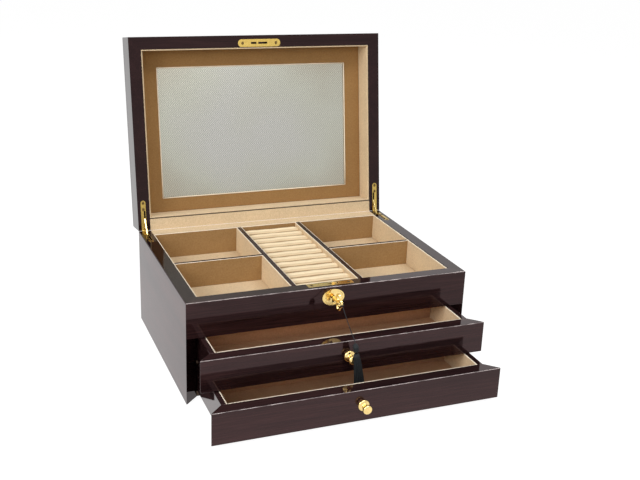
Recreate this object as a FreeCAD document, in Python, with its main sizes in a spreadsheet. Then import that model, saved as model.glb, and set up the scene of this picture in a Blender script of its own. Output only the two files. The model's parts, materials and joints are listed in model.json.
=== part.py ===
import FreeCAD, Part
import math
import os
import re
import Sketcher

# Jewellery box with a hinged lid, a lined tray and two drawers. Millimetres, +Z up.
# The origin is on the table, under the middle of the box. The front faces -Y.
# The box is shown in use: the lid stands open and both drawers are pulled part way out.

doc = FreeCAD.newDocument("JewelleryBox")

SIZES = {
    # carcass
    "box_width": 300,
    "box_depth": 215,
    "body_height": 107,
    "board": 13.5,
    "edge_round": 0.9,
    "groove_depth": 4,
    "felt": 1,
    "tray_board": 5,
    "dust_board": 3,
    "foot_reveal": 2.8,
    # lid
    "lid_height": 34.6,
    "lid_top_board": 6.5,
    "lid_top_round": 2.5,
    "lid_gap": 0.4,
    "lid_open_angle": 98.5,
    "panel_pad": 3,
    "mirror_side_margin": 20.6,
    "mirror_front_margin": 19.9,
    "mirror_back_margin": 16.9,
    "mirror_thick": 2,
    "mirror_fit": 0.2,
    # suede
    "lining": 1.6,
    "lining_drop": 0.5,
    "rim_suede": 0.8,
    "rim_setback": 0.7,
    "floor_pad": 3,
    "thin_lining": 1.2,
    # tray
    "long_divider": 4.4,
    "middle_bay": 68,
    "cross_divider": 2,
    "divider_drop": 0.3,
    "roll_count": 12,
    "roll_gap": 0.3,
    "roll_drop": 3.5,
    # drawers
    "front_gap": 0.8,
    "front_height": 32.8,
    "mitre_gap": 0.5,
    "side_gap": 0.5,
    "run_gap": 0.35,
    "top_gap": 0.6,
    "back_gap": 1.5,
    "drawer_board": 5,
    "drawer_floor": 2.4,
    "drawer_lining": 1.5,
    "upper_pull": 47,
    "lower_pull": 85,
    # knobs
    "knob_flange_radius": 5.8,
    "knob_flange": 1.8,
    "knob_waist_radius": 2.6,
    "knob_cap_radius": 4.6,
    "knob_cap_back": 7.3,
    "knob_length": 11,
    "knob_stud_radius": 1.5,
    "knob_stud": 9,
    # lock and key
    "lock_from_front": 8.7,
    "lock_plate_length": 49,
    "lock_plate_width": 8.2,
    "lock_plate": 1.4,
    "lock_case_width": 34,
    "lock_case_thick": 7.2,
    "lock_case_height": 22,
    "lock_wall": 0.9,
    "lock_fit": 0.1,
    "key_drop": 10.9,
    "key_shank_radius": 1.5,
    "key_fit": 0.4,
    "key_reach": 10,
    "collar_ahead": 6.5,
    "collar_length": 2,
    "collar_lip": 0.9,
    "key_bit": 5.2,
    "key_bit_thick": 1.4,
    "key_bit_width": 1.3,
    "bow_lobe": 4.4,
    "bow_rise": 4.6,
    "bow_hole": 2.5,
    "bow_thick": 2,
    "escutcheon_width": 23.6,
    "escutcheon_height": 17.6,
    "escutcheon": 1.4,
    "escutcheon_rim": 1.5,
    "hook_thick": 1.8,
    "hook_gap": 0.3,
    "hook_pivot_left": 4.4,
    "hook_turn": 25,
    "hook_pin_radius": 1,
    "hook_module": 1,
    "turning_fit": 0.05,
    "strike_length": 50.8,
    "strike_width": 8.6,
    "strike": 1,
    "plate_screw": 20,
    # hinges and stays
    "hinge_inset": 6.5,
    "leaf_width": 5.6,
    "leaf": 1.4,
    "leaf_fit": 0.1,
    "knuckle_radius": 1.7,
    "knuckle_fit": 0.3,
    "knuckle_gap": 0.1,
    "hinge_pin_radius": 0.8,
    "stay_offset": 1.3,
    "stay_thick": 1.3,
    "stay_slot": 1.8,
    "stay_half_width": 0.9,
    "stay_length": 19.8,
    "stay_along": 13,
    "stay_up": 1.4,
    "stay_drop": 3,
    "stay_pin_radius": 0.6,
    "stay_lug": 1.2,
    "slot_clear": 0.25,
    "mortise_depth": 5.5,
    "screw_margin": 1.85,
    "screw_pitch": 7.2,
    "screw_aside": 1.3,
    "screw_head_radius": 1.1,
    "screw_head": 0.9,
    "screw_shank_radius": 0.6,
    "screw_length": 6,
    "screw_slot": 0.4,
    # cord and tassel
    "cord_radius": 0.45,
    "loop_radius": 1.95,
    "cord_start_gap": 0.15,
    "cord_start_drop": 0.3,
    "cord_lead": 2.5,
    "cord_sag": 1.2,
    "tassel_side": 1.2,
    "tassel_gap": 0.2,
    "tassel_drop": 7,
    "tassel_tilt": 28.5,
    "tassel_head_radius": 2.9,
    "tassel_head": 9.4,
    "tassel_neck": 1.7,
    "skirt_top_half": 3,
    "skirt_end_half": 6.5,
    "skirt_thick_half": 2.2,
    "skirt_length": 39.5,
    "skirt_lean": 4.7,
    "skirt_ahead": 1.2,
}

sheet = doc.addObject("Spreadsheet::Sheet", "Sizes")
for row, (name, number) in enumerate(SIZES.items(), start=1):
    sheet.set(f"A{row}", name)
    sheet.set(f"B{row}", str(number))
    sheet.setAlias(f"B{row}", name)
doc.recompute()


def cell(formula):
    """Writes a formula of size names as an expression on the sheet."""
    return re.sub(r"[a-z_]+", lambda m: f"Sizes.{m[0]}" if m[0] in SIZES else m[0], str(formula))


def number(formula):
    """The value that a formula has now."""
    value = sheet.evalExpression(cell(formula))
    return float(getattr(value, "Value", value))


# ---------------------------------------------------------------- places worked out from the sizes

HALF_W = "(box_width / 2)"
HALF_D = "(box_depth / 2)"
INNER_W = "(box_width / 2 - board)"
INNER_D = "(box_depth / 2 - board)"
RIM = "body_height"
LOWER_TOP = "(foot_reveal + front_height)"
UPPER_TOP = f"({LOWER_TOP} + front_gap + front_height)"
FASCIA_BOTTOM = f"({UPPER_TOP} + front_gap)"
TRAY_TOP = f"({FASCIA_BOTTOM} + tray_board)"
PAD_TOP = f"({TRAY_TOP} + floor_pad)"
BOX_HEIGHT = "(front_height + front_gap - top_gap - dust_board - run_gap)"
DUST_BOTTOM = f"({LOWER_TOP} + top_gap)"
BOTTOM_TOP = f"({LOWER_TOP} - {BOX_HEIGHT} - run_gap)"
AXIS_Z = "(body_height + lid_gap / 2)"
LID_RIM = "(body_height + lid_gap)"
LID_TOP = "(body_height + lid_gap + lid_height)"
LID_CEILING = f"({LID_TOP} - lid_top_board)"
HINGE_X = f"({HALF_W} - hinge_inset)"
LOCK_Y = f"(lock_from_front - {HALF_D})"
KEY_Z = "(body_height - key_drop)"
LINED_W = f"({INNER_W} - lining)"
LINED_D = f"({INNER_D} - lining)"

REST = "placement(vector(0; 0; 0); rotation(vector(1; 0; 0); 0); vector(0; 0; 0))"
LID_OPEN = (
    "placement(vector(0; 0; 0); rotation(vector(1; 0; 0); -lid_open_angle);"
    f" vector(0; {HALF_D}; {AXIS_Z}))"
)
PULLED = {
    "upper": "placement(vector(0; -upper_pull; 0); rotation(vector(1; 0; 0); 0); vector(0; 0; 0))",
    "lower": "placement(vector(0; -lower_pull; 0); rotation(vector(1; 0; 0); 0); vector(0; 0; 0))",
}

# ---------------------------------------------------------------- builders

AXES = {"XY_Plane": 1, "XZ_Plane": -1, "YZ_Plane": 1}
pieces = []


def piece(name, place=REST):
    """A sub-part: a PartDesign body whose Label names its file."""
    body = doc.addObject("PartDesign::Body", name)
    body.Label = name
    body.setExpression("Placement", cell(place))
    pieces.append(body)
    return body


def sketch_on(body, role, offset):
    """A sketch on one of the body's own planes, moved along the plane's normal."""
    plane = next(f for f in body.Origin.OriginFeatures if f.Role == role)
    sketch = body.newObject("Sketcher::SketchObject", f"{body.Name}_outline")
    sketch.AttachmentSupport = (plane, "")
    sketch.MapMode = "FlatFace"
    sketch.setExpression("AttachmentOffset.Base.z", cell(offset))
    return sketch


def fix(sketch, kind, geometry, point, formula):
    """Holds a point of the outline at a distance from the origin."""
    index = sketch.addConstraint(
        Sketcher.Constraint(kind, -1, 1, geometry, point, number(formula))
    )
    sketch.setExpression(f"Constraints[{index}]", cell(formula))


def polygon(sketch, corners):
    """Closes an outline through corners, each held by two formulas."""
    first = sketch.GeometryCount
    spots = [FreeCAD.Vector(number(u), number(v), 0) for u, v in corners]
    count = len(corners)
    for i in range(count):
        sketch.addGeometry(Part.LineSegment(spots[i], spots[(i + 1) % count]), False)
    for i in range(count):
        after = first + (i + 1) % count
        sketch.addConstraint(Sketcher.Constraint("Coincident", first + i, 2, after, 1))
    for i, (u, v) in enumerate(corners):
        fix(sketch, "DistanceX", first + i, 1, u)
        fix(sketch, "DistanceY", first + i, 1, v)


def circle(sketch, centre, radius):
    """Adds a circle held by its centre and radius."""
    at = FreeCAD.Vector(number(centre[0]), number(centre[1]), 0)
    index = sketch.addGeometry(Part.Circle(at, FreeCAD.Vector(0, 0, 1), number(radius)), False)
    fix(sketch, "DistanceX", index, 3, centre[0])
    fix(sketch, "DistanceY", index, 3, centre[1])
    hold = sketch.addConstraint(Sketcher.Constraint("Radius", index, number(radius)))
    sketch.setExpression(f"Constraints[{hold}]", cell(radius))


def draw(sketch, outline):
    """An outline is a list of corners, or a circle given as (centre, radius)."""
    if isinstance(outline, tuple):
        circle(sketch, *outline)
    else:
        polygon(sketch, outline)


def add(body, role, outline, low, high):
    """Pads an outline between two places along the plane's world axis."""
    start = low if AXES[role] > 0 else f"-({high})"
    sketch = sketch_on(body, role, start)
    draw(sketch, outline)
    pad = body.newObject("PartDesign::Pad", f"{body.Name}_pad")
    pad.Profile = sketch
    pad.setExpression("Length", cell(f"({high}) - ({low})"))
    sketch.Visibility = False
    return pad


def carve(body, role, outline, low, high):
    """Pockets an outline between two places along the plane's world axis."""
    start = high if AXES[role] > 0 else f"-({low})"
    sketch = sketch_on(body, role, start)
    draw(sketch, outline)
    pocket = body.newObject("PartDesign::Pocket", f"{body.Name}_pocket")
    pocket.Profile = sketch
    pocket.setExpression("Length", cell(f"({high}) - ({low})"))
    sketch.Visibility = False
    return pocket


def turn(body, role, outline, axis, angle=360):
    """Revolves a polygon drawn beside the sketch's own axis, "H_Axis" or "V_Axis"."""
    sketch = sketch_on(body, role, "0")
    polygon(sketch, outline)
    revolution = body.newObject("PartDesign::Revolution", f"{body.Name}_turn")
    revolution.Profile = sketch
    revolution.ReferenceAxis = (sketch, [axis])
    revolution.Angle = angle
    sketch.Visibility = False
    return revolution


def rectangle(u, v):
    """Corners of a rectangle between two pairs of formulas."""
    return [(u[0], v[0]), (u[1], v[0]), (u[1], v[1]), (u[0], v[1])]


def soften(body, radius, wanted):
    """Rounds the straight edges whose two ends both satisfy wanted(x, y, z)."""
    doc.recompute()
    tip = body.Tip
    names = []
    for index, edge in enumerate(tip.Shape.Edges, start=1):
        ends = [vertex.Point for vertex in edge.Vertexes]
        straight = edge.Curve.TypeId == "Part::GeomLine"
        if straight and len(ends) == 2 and all(wanted(p.x, p.y, p.z) for p in ends):
            names.append(f"Edge{index}")
    fillet = body.newObject("PartDesign::Fillet", f"{body.Name}_round")
    fillet.Base = (tip, names)
    fillet.setExpression("Radius", cell(radius))
    return fillet


def near(a, formula):
    """True where a coordinate lies at a formula's value."""
    return abs(a - number(formula)) < 0.01


def mirrored(side, outline):
    """The outline, with its first formulas turned over when side is -1."""
    if isinstance(outline, tuple):
        (u, v), radius = outline
        return ((f"{side} * ({u})", v), radius)
    return [(f"{side} * ({u})", v) for u, v in outline]


def span(side, low, high):
    """Two places along X on one side of the box, in rising order."""
    if side > 0:
        return low, high
    return f"-({high})", f"-({low})"


# ---------------------------------------------------------------- hinge and stay recesses

HINGE_IN = f"({HINGE_X} - leaf_width / 2)"
HINGE_OUT = f"({HINGE_X} + leaf_width / 2)"
STAY_X = f"({HINGE_X} - stay_offset)"
SLOT = (f"{STAY_X} - stay_slot / 2", f"{STAY_X} + stay_slot / 2")
LUG_END = f"({STAY_X} + stay_slot / 2 + stay_lug)"
PIVOT_OPEN_BACK = "(stay_along * cos(lid_open_angle) - stay_up * sin(lid_open_angle))"
PIVOT_OPEN_RISE = "(stay_along * sin(lid_open_angle) + stay_up * cos(lid_open_angle))"
SHUT_TILT = "asin((stay_up + stay_drop) / stay_length)"
OPEN_TILT = f"asin(({PIVOT_OPEN_RISE} + stay_drop) / stay_length)"
LEAN_BACK = f"(180 deg - lid_open_angle * 1 deg - {OPEN_TILT})"


def crossing(height, tilt):
    """How far past its pivot an arm's edge goes through a leaf that lies that far away."""
    return f"(({height}) / tan({tilt}) + stay_half_width / sin({tilt}) + slot_clear)"


LID_SLOT_FAR = f"(stay_along + {crossing('stay_up - lid_gap / 2', SHUT_TILT)})"
LID_SLOT_NEAR = f"(stay_along - {crossing('stay_up - lid_gap / 2', LEAN_BACK)})"
ARM_END = f"({PIVOT_OPEN_BACK} + stay_length * cos({OPEN_TILT}))"
BODY_SLOT_FAR = f"(stay_along + stay_length * cos({SHUT_TILT}) + stay_half_width + slot_clear)"
BODY_SLOT_NEAR = f"({ARM_END} - {crossing('stay_drop - lid_gap / 2', OPEN_TILT)})"
BODY_SLOT = (f"{HALF_D} - {BODY_SLOT_FAR}", f"{HALF_D} - {BODY_SLOT_NEAR}")
LID_SLOT = (f"{HALF_D} - {LID_SLOT_FAR}", f"{HALF_D} - {LID_SLOT_NEAR}")
BODY_SCREW = f"({BODY_SLOT_FAR} + screw_margin)"
LID_SCREW = f"({LID_SLOT_FAR} + screw_margin)"
BODY_LEAF = f"({BODY_SCREW} + leaf_width / 2)"
LID_LEAF = f"({LID_SCREW} + screw_pitch + leaf_width / 2)"


def leaf_recess(body, side, length, low, high):
    """Sinks a hinge leaf, with its round end, into a rim."""
    end = f"({HALF_D} - {length} + leaf_width / 2)"
    wide = (f"{HINGE_IN} - leaf_fit", f"{HINGE_OUT} + leaf_fit")
    carve(body, "XY_Plane", mirrored(side, rectangle(wide, (end, f"{HALF_D} + 1"))), low, high)
    carve(body, "XY_Plane", mirrored(side, ((HINGE_X, end), "leaf_width / 2 + leaf_fit")), low, high)


def knuckle_notch(body, side):
    """Clears the hinge knuckles at the back edge."""
    low, high = span(side, f"{HINGE_IN} - leaf_fit", f"{HINGE_OUT} + leaf_fit")
    carve(body, "YZ_Plane", ((HALF_D, AXIS_Z), "knuckle_radius + knuckle_fit"), low, high)


def body_hinge_recess(body, side):
    """Everything cut into the carcass rim for one hinge, but for its screws."""
    leaf_recess(body, side, BODY_LEAF, f"{RIM} - leaf", RIM)
    mortise = rectangle((f"{SLOT[0]} - 0.1", f"{SLOT[1]} + 0.1"), BODY_SLOT)
    carve(body, "XY_Plane", mirrored(side, mortise), f"{RIM} - mortise_depth", RIM)
    knuckle_notch(body, side)


def lid_hinge_recess(body, side):
    """Everything cut into the lid rim for one hinge, but for its screws."""
    leaf_recess(body, side, LID_LEAF, LID_RIM, f"{LID_RIM} + leaf")
    mortise = rectangle((f"{SLOT[0]} - 0.1", f"{LUG_END} + 0.1"), LID_SLOT)
    carve(body, "XY_Plane", mirrored(side, mortise), LID_RIM, f"{LID_RIM} + mortise_depth")
    knuckle_notch(body, side)


def screw_hole(body, x, y, face, way):
    """A plate's hole and the bore behind it; way is -1 for a screw driven down."""
    low, high = sorted((0, way))
    carve(
        body,
        "XY_Plane",
        ((x, y), "screw_shank_radius"),
        f"{face} + {low} * screw_length",
        f"{face} + {high} * screw_length",
    )


def head_hole(body, x, y, face, way):
    """The hole in a plate that a screw's head fills."""
    low, high = sorted((0, way))
    carve(
        body,
        "XY_Plane",
        ((x, y), "screw_head_radius"),
        f"{face} + {low} * screw_head",
        f"{face} + {high} * screw_head",
    )


def screw(body, x, y, face, way):
    """A small brass wood screw with a flush slotted head."""
    low, high = sorted((0, way))
    add(
        body,
        "XY_Plane",
        ((x, y), "screw_head_radius"),
        f"{face} + {low} * screw_head",
        f"{face} + {high} * screw_head",
    )
    add(
        body,
        "XY_Plane",
        ((x, y), "screw_shank_radius"),
        f"{face} + {way} * screw_head" if way > 0 else f"{face} - screw_length",
        f"{face} + screw_length" if way > 0 else f"{face} - screw_head",
    )
    slot = rectangle(
        (f"{x} - 1.2 * screw_head_radius", f"{x} + 1.2 * screw_head_radius"),
        (f"{y} - screw_slot / 2", f"{y} + screw_slot / 2"),
    )
    low, high = sorted((0, 0.35 * way))
    carve(body, "XY_Plane", slot, f"{face} + {low}", f"{face} + {high}")


def hinge_screws(side, lid):
    """Where the screws of one leaf go, as pairs of X and Y formulas."""
    if lid:
        spots = [(HINGE_X, LID_SCREW), (HINGE_X, f"({LID_SCREW} + screw_pitch)")]
    else:
        spots = [(f"{HINGE_X} + screw_aside", f"({BODY_SLOT_FAR} / 2)"), (HINGE_X, BODY_SCREW)]
    return [(f"{side} * ({x})", f"{HALF_D} - {back_by}") for x, back_by in spots]


# ---------------------------------------------------------------- carcass


def side_wall(name, side):
    """A full-height side board, mitred at both ends, grooved for the three floors."""
    body = piece(name)
    plan = [(HALF_W, f"-{HALF_D}"), (HALF_W, HALF_D), (INNER_W, INNER_D), (INNER_W, f"-{INNER_D}")]
    add(body, "XY_Plane", mirrored(side, plan), "0", RIM)
    soften(
        body,
        "edge_round",
        lambda x, y, z: near(abs(x), HALF_W) and near(z, RIM),
    )
    groove = (f"{INNER_W} - 1", f"{INNER_W} + groove_depth")
    for low, high in (
        ("felt", BOTTOM_TOP),
        (DUST_BOTTOM, f"{DUST_BOTTOM} + dust_board"),
        (FASCIA_BOTTOM, TRAY_TOP),
    ):
        outline = rectangle(groove, (f"-{INNER_D}", INNER_D))
        carve(body, "XY_Plane", mirrored(side, outline), low, high)
    body_hinge_recess(body, side)
    for x, y in hinge_screws(side, False):
        screw_hole(body, x, y, RIM, -1)


side_wall("side_wall_left", -1)
side_wall("side_wall_right", 1)


def mitred_board(body, front, bottom, top):
    """A board across the box with mitred ends; front is -1 at the front, 1 at the back."""
    plan = [
        (f"-{HALF_W}", f"{front} * {HALF_D}"),
        (HALF_W, f"{front} * {HALF_D}"),
        (INNER_W, f"{front} * {INNER_D}"),
        (f"-{INNER_W}", f"{front} * {INNER_D}"),
    ]
    add(body, "XY_Plane", plan, bottom, top)


fascia = piece("front_fascia")
mitred_board(fascia, -1, FASCIA_BOTTOM, RIM)
soften(fascia, "edge_round", lambda x, y, z: near(y, f"-{HALF_D}") and near(z, RIM))
PIN_X = "(escutcheon_width / 2 - 4.2)"
LOCK_SPAN = ("-(lock_plate_length / 2 + lock_fit)", "lock_plate_length / 2 + lock_fit")
PLATE_SPAN = (f"{LOCK_Y} - lock_plate_width / 2 - lock_fit", f"{LOCK_Y} + lock_plate_width / 2 + lock_fit")
CASE_SPAN = ("-(lock_case_width / 2 + lock_fit)", "lock_case_width / 2 + lock_fit")
CASE_DEPTH = (f"{LOCK_Y} - lock_case_thick / 2 - lock_fit", f"{LOCK_Y} + lock_case_thick / 2 + lock_fit")
CASE_BOTTOM = f"({RIM} - lock_plate - lock_case_height)"
carve(fascia, "XY_Plane", rectangle(LOCK_SPAN, PLATE_SPAN), f"{RIM} - lock_plate", RIM)
carve(fascia, "XY_Plane", rectangle(CASE_SPAN, CASE_DEPTH), f"{CASE_BOTTOM} - lock_fit", RIM)
for side in (-1, 1):
    screw_hole(fascia, f"{side} * plate_screw", LOCK_Y, RIM, -1)
    spot = ((f"{side} * {PIN_X}", KEY_Z), "screw_shank_radius")
    carve(fascia, "XZ_Plane", spot, f"-{HALF_D}", f"-{HALF_D} + 3")
KEYHOLE = (("0", KEY_Z), "key_shank_radius + key_fit")
BIT_SLOT = rectangle(("-1.1", "1.1"), (f"{KEY_Z} - key_bit - key_fit", KEY_Z))
carve(fascia, "XZ_Plane", KEYHOLE, f"-{HALF_D}", LOCK_Y)
carve(fascia, "XZ_Plane", BIT_SLOT, f"-{HALF_D}", LOCK_Y)

back = piece("back_wall")
mitred_board(back, 1, "0", RIM)
for side in (-1, 1):
    body_hinge_recess(back, side)
carve(back, "XY_Plane", rectangle((f"-{INNER_W}", INNER_W), (INNER_D, f"{HALF_D} + 1")), f"{RIM} - rim_suede", RIM)

rim = piece("back_rim_suede")
add(rim, "XY_Plane", rectangle((f"-{INNER_W}", INNER_W), (INNER_D, HALF_D)), f"{RIM} - rim_suede", RIM)

FLOOR_W = (f"-({INNER_W} + groove_depth)", f"{INNER_W} + groove_depth")
SHELF_Y = (f"run_gap - {INNER_D}", INNER_D)
add(piece("bottom_board"), "XY_Plane", rectangle(FLOOR_W, SHELF_Y), "felt", BOTTOM_TOP)
add(piece("base_felt"), "XY_Plane", rectangle((f"-{INNER_W}", INNER_W), SHELF_Y), "0", "felt")
add(piece("dust_board"), "XY_Plane", rectangle(FLOOR_W, SHELF_Y), DUST_BOTTOM, f"{DUST_BOTTOM} + dust_board")
TRAY_Y = (f"-{INNER_D}", INNER_D)
add(piece("tray_floor"), "XY_Plane", rectangle(FLOOR_W, TRAY_Y), FASCIA_BOTTOM, TRAY_TOP)

# ---------------------------------------------------------------- tray

WALL_TOP = f"({RIM} - lining_drop)"
walls = piece("tray_wall_lining")
add(walls, "XY_Plane", rectangle((f"-{INNER_W}", INNER_W), TRAY_Y), TRAY_TOP, WALL_TOP)
carve(
    walls,
    "XY_Plane",
    rectangle((f"-{LINED_W}", LINED_W), (f"-{LINED_D}", LINED_D)),
    TRAY_TOP,
    WALL_TOP,
)

DIVIDER_IN = "(middle_bay / 2)"
DIVIDER_OUT = "(middle_bay / 2 + long_divider)"
DIVIDER_TOP = f"({RIM} - divider_drop)"
NOTCH_HALF = "(cross_divider / 2)"
LINED_Y = (f"-{LINED_D}", LINED_D)
BAY_IN = f"({DIVIDER_OUT} + thin_lining)"
MID = f"({DIVIDER_IN} - thin_lining)"
for name, side in (("left", -1), ("right", 1)):
    divider = piece(f"long_divider_{name}")
    outline = rectangle((DIVIDER_IN, DIVIDER_OUT), LINED_Y)
    add(divider, "XY_Plane", mirrored(side, outline), TRAY_TOP, DIVIDER_TOP)
    cross = piece(f"cross_divider_{name}")
    outline = rectangle((DIVIDER_OUT, LINED_W), (f"-{NOTCH_HALF}", NOTCH_HALF))
    add(cross, "XY_Plane", mirrored(side, outline), TRAY_TOP, DIVIDER_TOP)

linings = piece("divider_linings")
for side in (-1, 1):
    for across, along in (
        ((MID, DIVIDER_IN), (f"-{LINED_D}", LINED_D)),
        ((DIVIDER_OUT, BAY_IN), (NOTCH_HALF, LINED_D)),
        ((DIVIDER_OUT, BAY_IN), (f"-{LINED_D}", f"-{NOTCH_HALF}")),
        ((BAY_IN, LINED_W), (NOTCH_HALF, f"{NOTCH_HALF} + thin_lining")),
        ((BAY_IN, LINED_W), (f"-({NOTCH_HALF} + thin_lining)", f"-{NOTCH_HALF}")),
    ):
        outline = mirrored(side, rectangle(across, along))
        add(linings, "XY_Plane", outline, PAD_TOP, f"{DIVIDER_TOP} - lining_drop")

pads = piece("tray_floor_pads")
CROSS_FACE = f"({NOTCH_HALF})"
for side in (-1, 1):
    for along in ((CROSS_FACE, LINED_D), (f"-{LINED_D}", f"-{CROSS_FACE}")):
        add(pads, "XY_Plane", mirrored(side, rectangle((DIVIDER_OUT, LINED_W), along)), TRAY_TOP, PAD_TOP)
add(pads, "XY_Plane", rectangle((f"-{DIVIDER_IN}", DIVIDER_IN), LINED_Y), TRAY_TOP, PAD_TOP)

roll_half = f"({LINED_D} / roll_count - roll_gap / 2)"
roll_first = f"({LINED_D} / roll_count - {LINED_D})"
roll_spring = f"({RIM} - roll_drop - {roll_half})"
rolls = piece("ring_rolls")
ROLL_X = (f"-{MID}", MID)
roll_y = (f"{roll_first} - {roll_half}", f"{roll_first} + {roll_half}")
stem = add(rolls, "YZ_Plane", rectangle(roll_y, (PAD_TOP, roll_spring)), *ROLL_X)
crown = add(rolls, "YZ_Plane", ((roll_first, roll_spring), roll_half), *ROLL_X)
doc.recompute()
rows = rolls.newObject("PartDesign::LinearPattern", "ring_rolls_row")
rows.Originals = [stem, crown]
plane = next(f for f in rolls.Origin.OriginFeatures if f.Role == "Y_Axis")
rows.Direction = (plane, [""])
rows.setExpression("Length", cell(f"2 * ({LINED_D} - {LINED_D} / roll_count)"))
rows.setExpression("Occurrences", cell("roll_count"))
rolls.Tip = rows

# ---------------------------------------------------------------- lid, drawn closed and then opened


def lid_board(name, front):
    """A mitred lid rail at the front (-1) or the back (1)."""
    body = piece(name, LID_OPEN)
    mitred_board(body, front, LID_RIM, LID_CEILING)
    return body


lid_front = lid_board("lid_front_rail", -1)
STRIKE_ROUND = "(strike_width / 2)"
STRIKE_X = f"(strike_length / 2 - {STRIKE_ROUND})"
STRIKE_TOP = f"({LID_RIM} + strike)"


def strike_outline(body, build, fit, low, high):
    """The strike plate's outline with its round ends."""
    across = (f"{LOCK_Y} - {STRIKE_ROUND} - {fit}", f"{LOCK_Y} + {STRIKE_ROUND} + {fit}")
    build(body, "XY_Plane", rectangle((f"-{STRIKE_X}", STRIKE_X), across), low, high)
    for end in (f"-{STRIKE_X}", STRIKE_X):
        build(body, "XY_Plane", ((end, LOCK_Y), f"{STRIKE_ROUND} + {fit}"), low, high)


strike_outline(lid_front, carve, "lock_fit", LID_RIM, STRIKE_TOP)
HOOK_SLOT_Y = (f"{LOCK_Y} - hook_thick / 2 - 0.2", f"{LOCK_Y} + hook_thick / 2 + 0.2")
MORTISE_Y = (f"{LOCK_Y} - hook_thick / 2 - 1", f"{LOCK_Y} + hook_thick / 2 + 1")
mortise = rectangle(("-11 * hook_module", "10.5 * hook_module"), MORTISE_Y)
carve(lid_front, "XY_Plane", mortise, STRIKE_TOP, f"{STRIKE_TOP} + mortise_depth")
for side in (-1, 1):
    screw_hole(lid_front, f"{side} * plate_screw", LOCK_Y, LID_RIM, 1)

lid_back = lid_board("lid_back_rail", 1)
carve(
    lid_back,
    "XY_Plane",
    rectangle((f"-{INNER_W}", INNER_W), (f"({INNER_D} + rim_setback)", f"{HALF_D} + 1")),
    LID_RIM,
    f"{LID_RIM} + rim_suede",
)
for side in (-1, 1):
    lid_hinge_recess(lid_back, side)
lid_rim = piece("lid_rim_suede", LID_OPEN)
outline = rectangle((f"-{INNER_W}", INNER_W), (f"({INNER_D} + rim_setback)", HALF_D))
add(lid_rim, "XY_Plane", outline, LID_RIM, f"{LID_RIM} + rim_suede")

for name, side in (("left", -1), ("right", 1)):
    body = piece(f"lid_side_{name}", LID_OPEN)
    plan = [(HALF_W, f"-{HALF_D}"), (HALF_W, HALF_D), (INNER_W, INNER_D), (INNER_W, f"-{INNER_D}")]
    add(body, "XY_Plane", mirrored(side, plan), LID_RIM, LID_CEILING)
    lid_hinge_recess(body, side)
    for x, y in hinge_screws(side, True):
        screw_hole(body, x, y, LID_RIM, 1)

top = piece("lid_top", LID_OPEN)
add(top, "XY_Plane", rectangle((f"-{HALF_W}", HALF_W), (f"-{HALF_D}", HALF_D)), LID_CEILING, LID_TOP)
soften(top, "lid_top_round", lambda x, y, z: near(z, LID_TOP))

lid_walls = piece("lid_wall_lining", LID_OPEN)
LID_LINING = (f"{LID_RIM} + lining_drop", LID_CEILING)
add(lid_walls, "XY_Plane", rectangle((f"-{INNER_W}", INNER_W), TRAY_Y), *LID_LINING)
carve(lid_walls, "XY_Plane", rectangle((f"-{LINED_W}", LINED_W), (f"-{LINED_D}", LINED_D)), *LID_LINING)

PANEL = (f"{LID_CEILING} - panel_pad", LID_CEILING)
MIRROR_X = f"({LINED_W} - mirror_side_margin)"
MIRROR_FRONT = f"(mirror_front_margin - {LINED_D})"
MIRROR_BACK = f"({LINED_D} - mirror_back_margin)"
panel = piece("lid_panel", LID_OPEN)
add(panel, "XY_Plane", rectangle((f"-{LINED_W}", LINED_W), (f"-{LINED_D}", LINED_D)), *PANEL)
window = rectangle(
    (f"-({MIRROR_X} + mirror_fit)", f"{MIRROR_X} + mirror_fit"),
    (f"{MIRROR_FRONT} - mirror_fit", f"{MIRROR_BACK} + mirror_fit"),
)
carve(panel, "XY_Plane", window, *PANEL)
mirror = piece("mirror", LID_OPEN)
glass = rectangle((f"-{MIRROR_X}", MIRROR_X), (MIRROR_FRONT, MIRROR_BACK))
add(mirror, "XY_Plane", glass, f"{LID_CEILING} - mirror_thick", LID_CEILING)

plate = piece("strike_plate", LID_OPEN)
strike_outline(plate, add, "0", LID_RIM, STRIKE_TOP)
for low, high in ((-10, -3.4), (-1.3, 9.6)):
    across = (f"{low} * hook_module", f"{high} * hook_module")
    carve(plate, "XY_Plane", rectangle(across, HOOK_SLOT_Y), LID_RIM, STRIKE_TOP)
strike_screws = piece("strike_screws", LID_OPEN)
for side in (-1, 1):
    head_hole(plate, f"{side} * plate_screw", LOCK_Y, LID_RIM, 1)
    screw_hole(plate, f"{side} * plate_screw", LOCK_Y, LID_RIM, 1)
    screw(strike_screws, f"{side} * plate_screw", LOCK_Y, LID_RIM, 1)

# ---------------------------------------------------------------- hinges and stays

THIRD = "(leaf_width / 3)"
KNUCKLES = {
    "outer": [(HINGE_IN, f"{HINGE_IN} + {THIRD}"), (f"{HINGE_OUT} - {THIRD}", HINGE_OUT)],
    "middle": [(f"{HINGE_IN} + {THIRD} + knuckle_gap", f"{HINGE_OUT} - {THIRD} - knuckle_gap")],
}
CLEARED = {
    "outer": [(HINGE_IN, f"{HINGE_IN} + {THIRD} + knuckle_gap"), (f"{HINGE_OUT} - {THIRD} - knuckle_gap", HINGE_OUT)],
    "middle": [(f"{HINGE_IN} + {THIRD}", f"{HINGE_OUT} - {THIRD}")],
}


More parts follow.
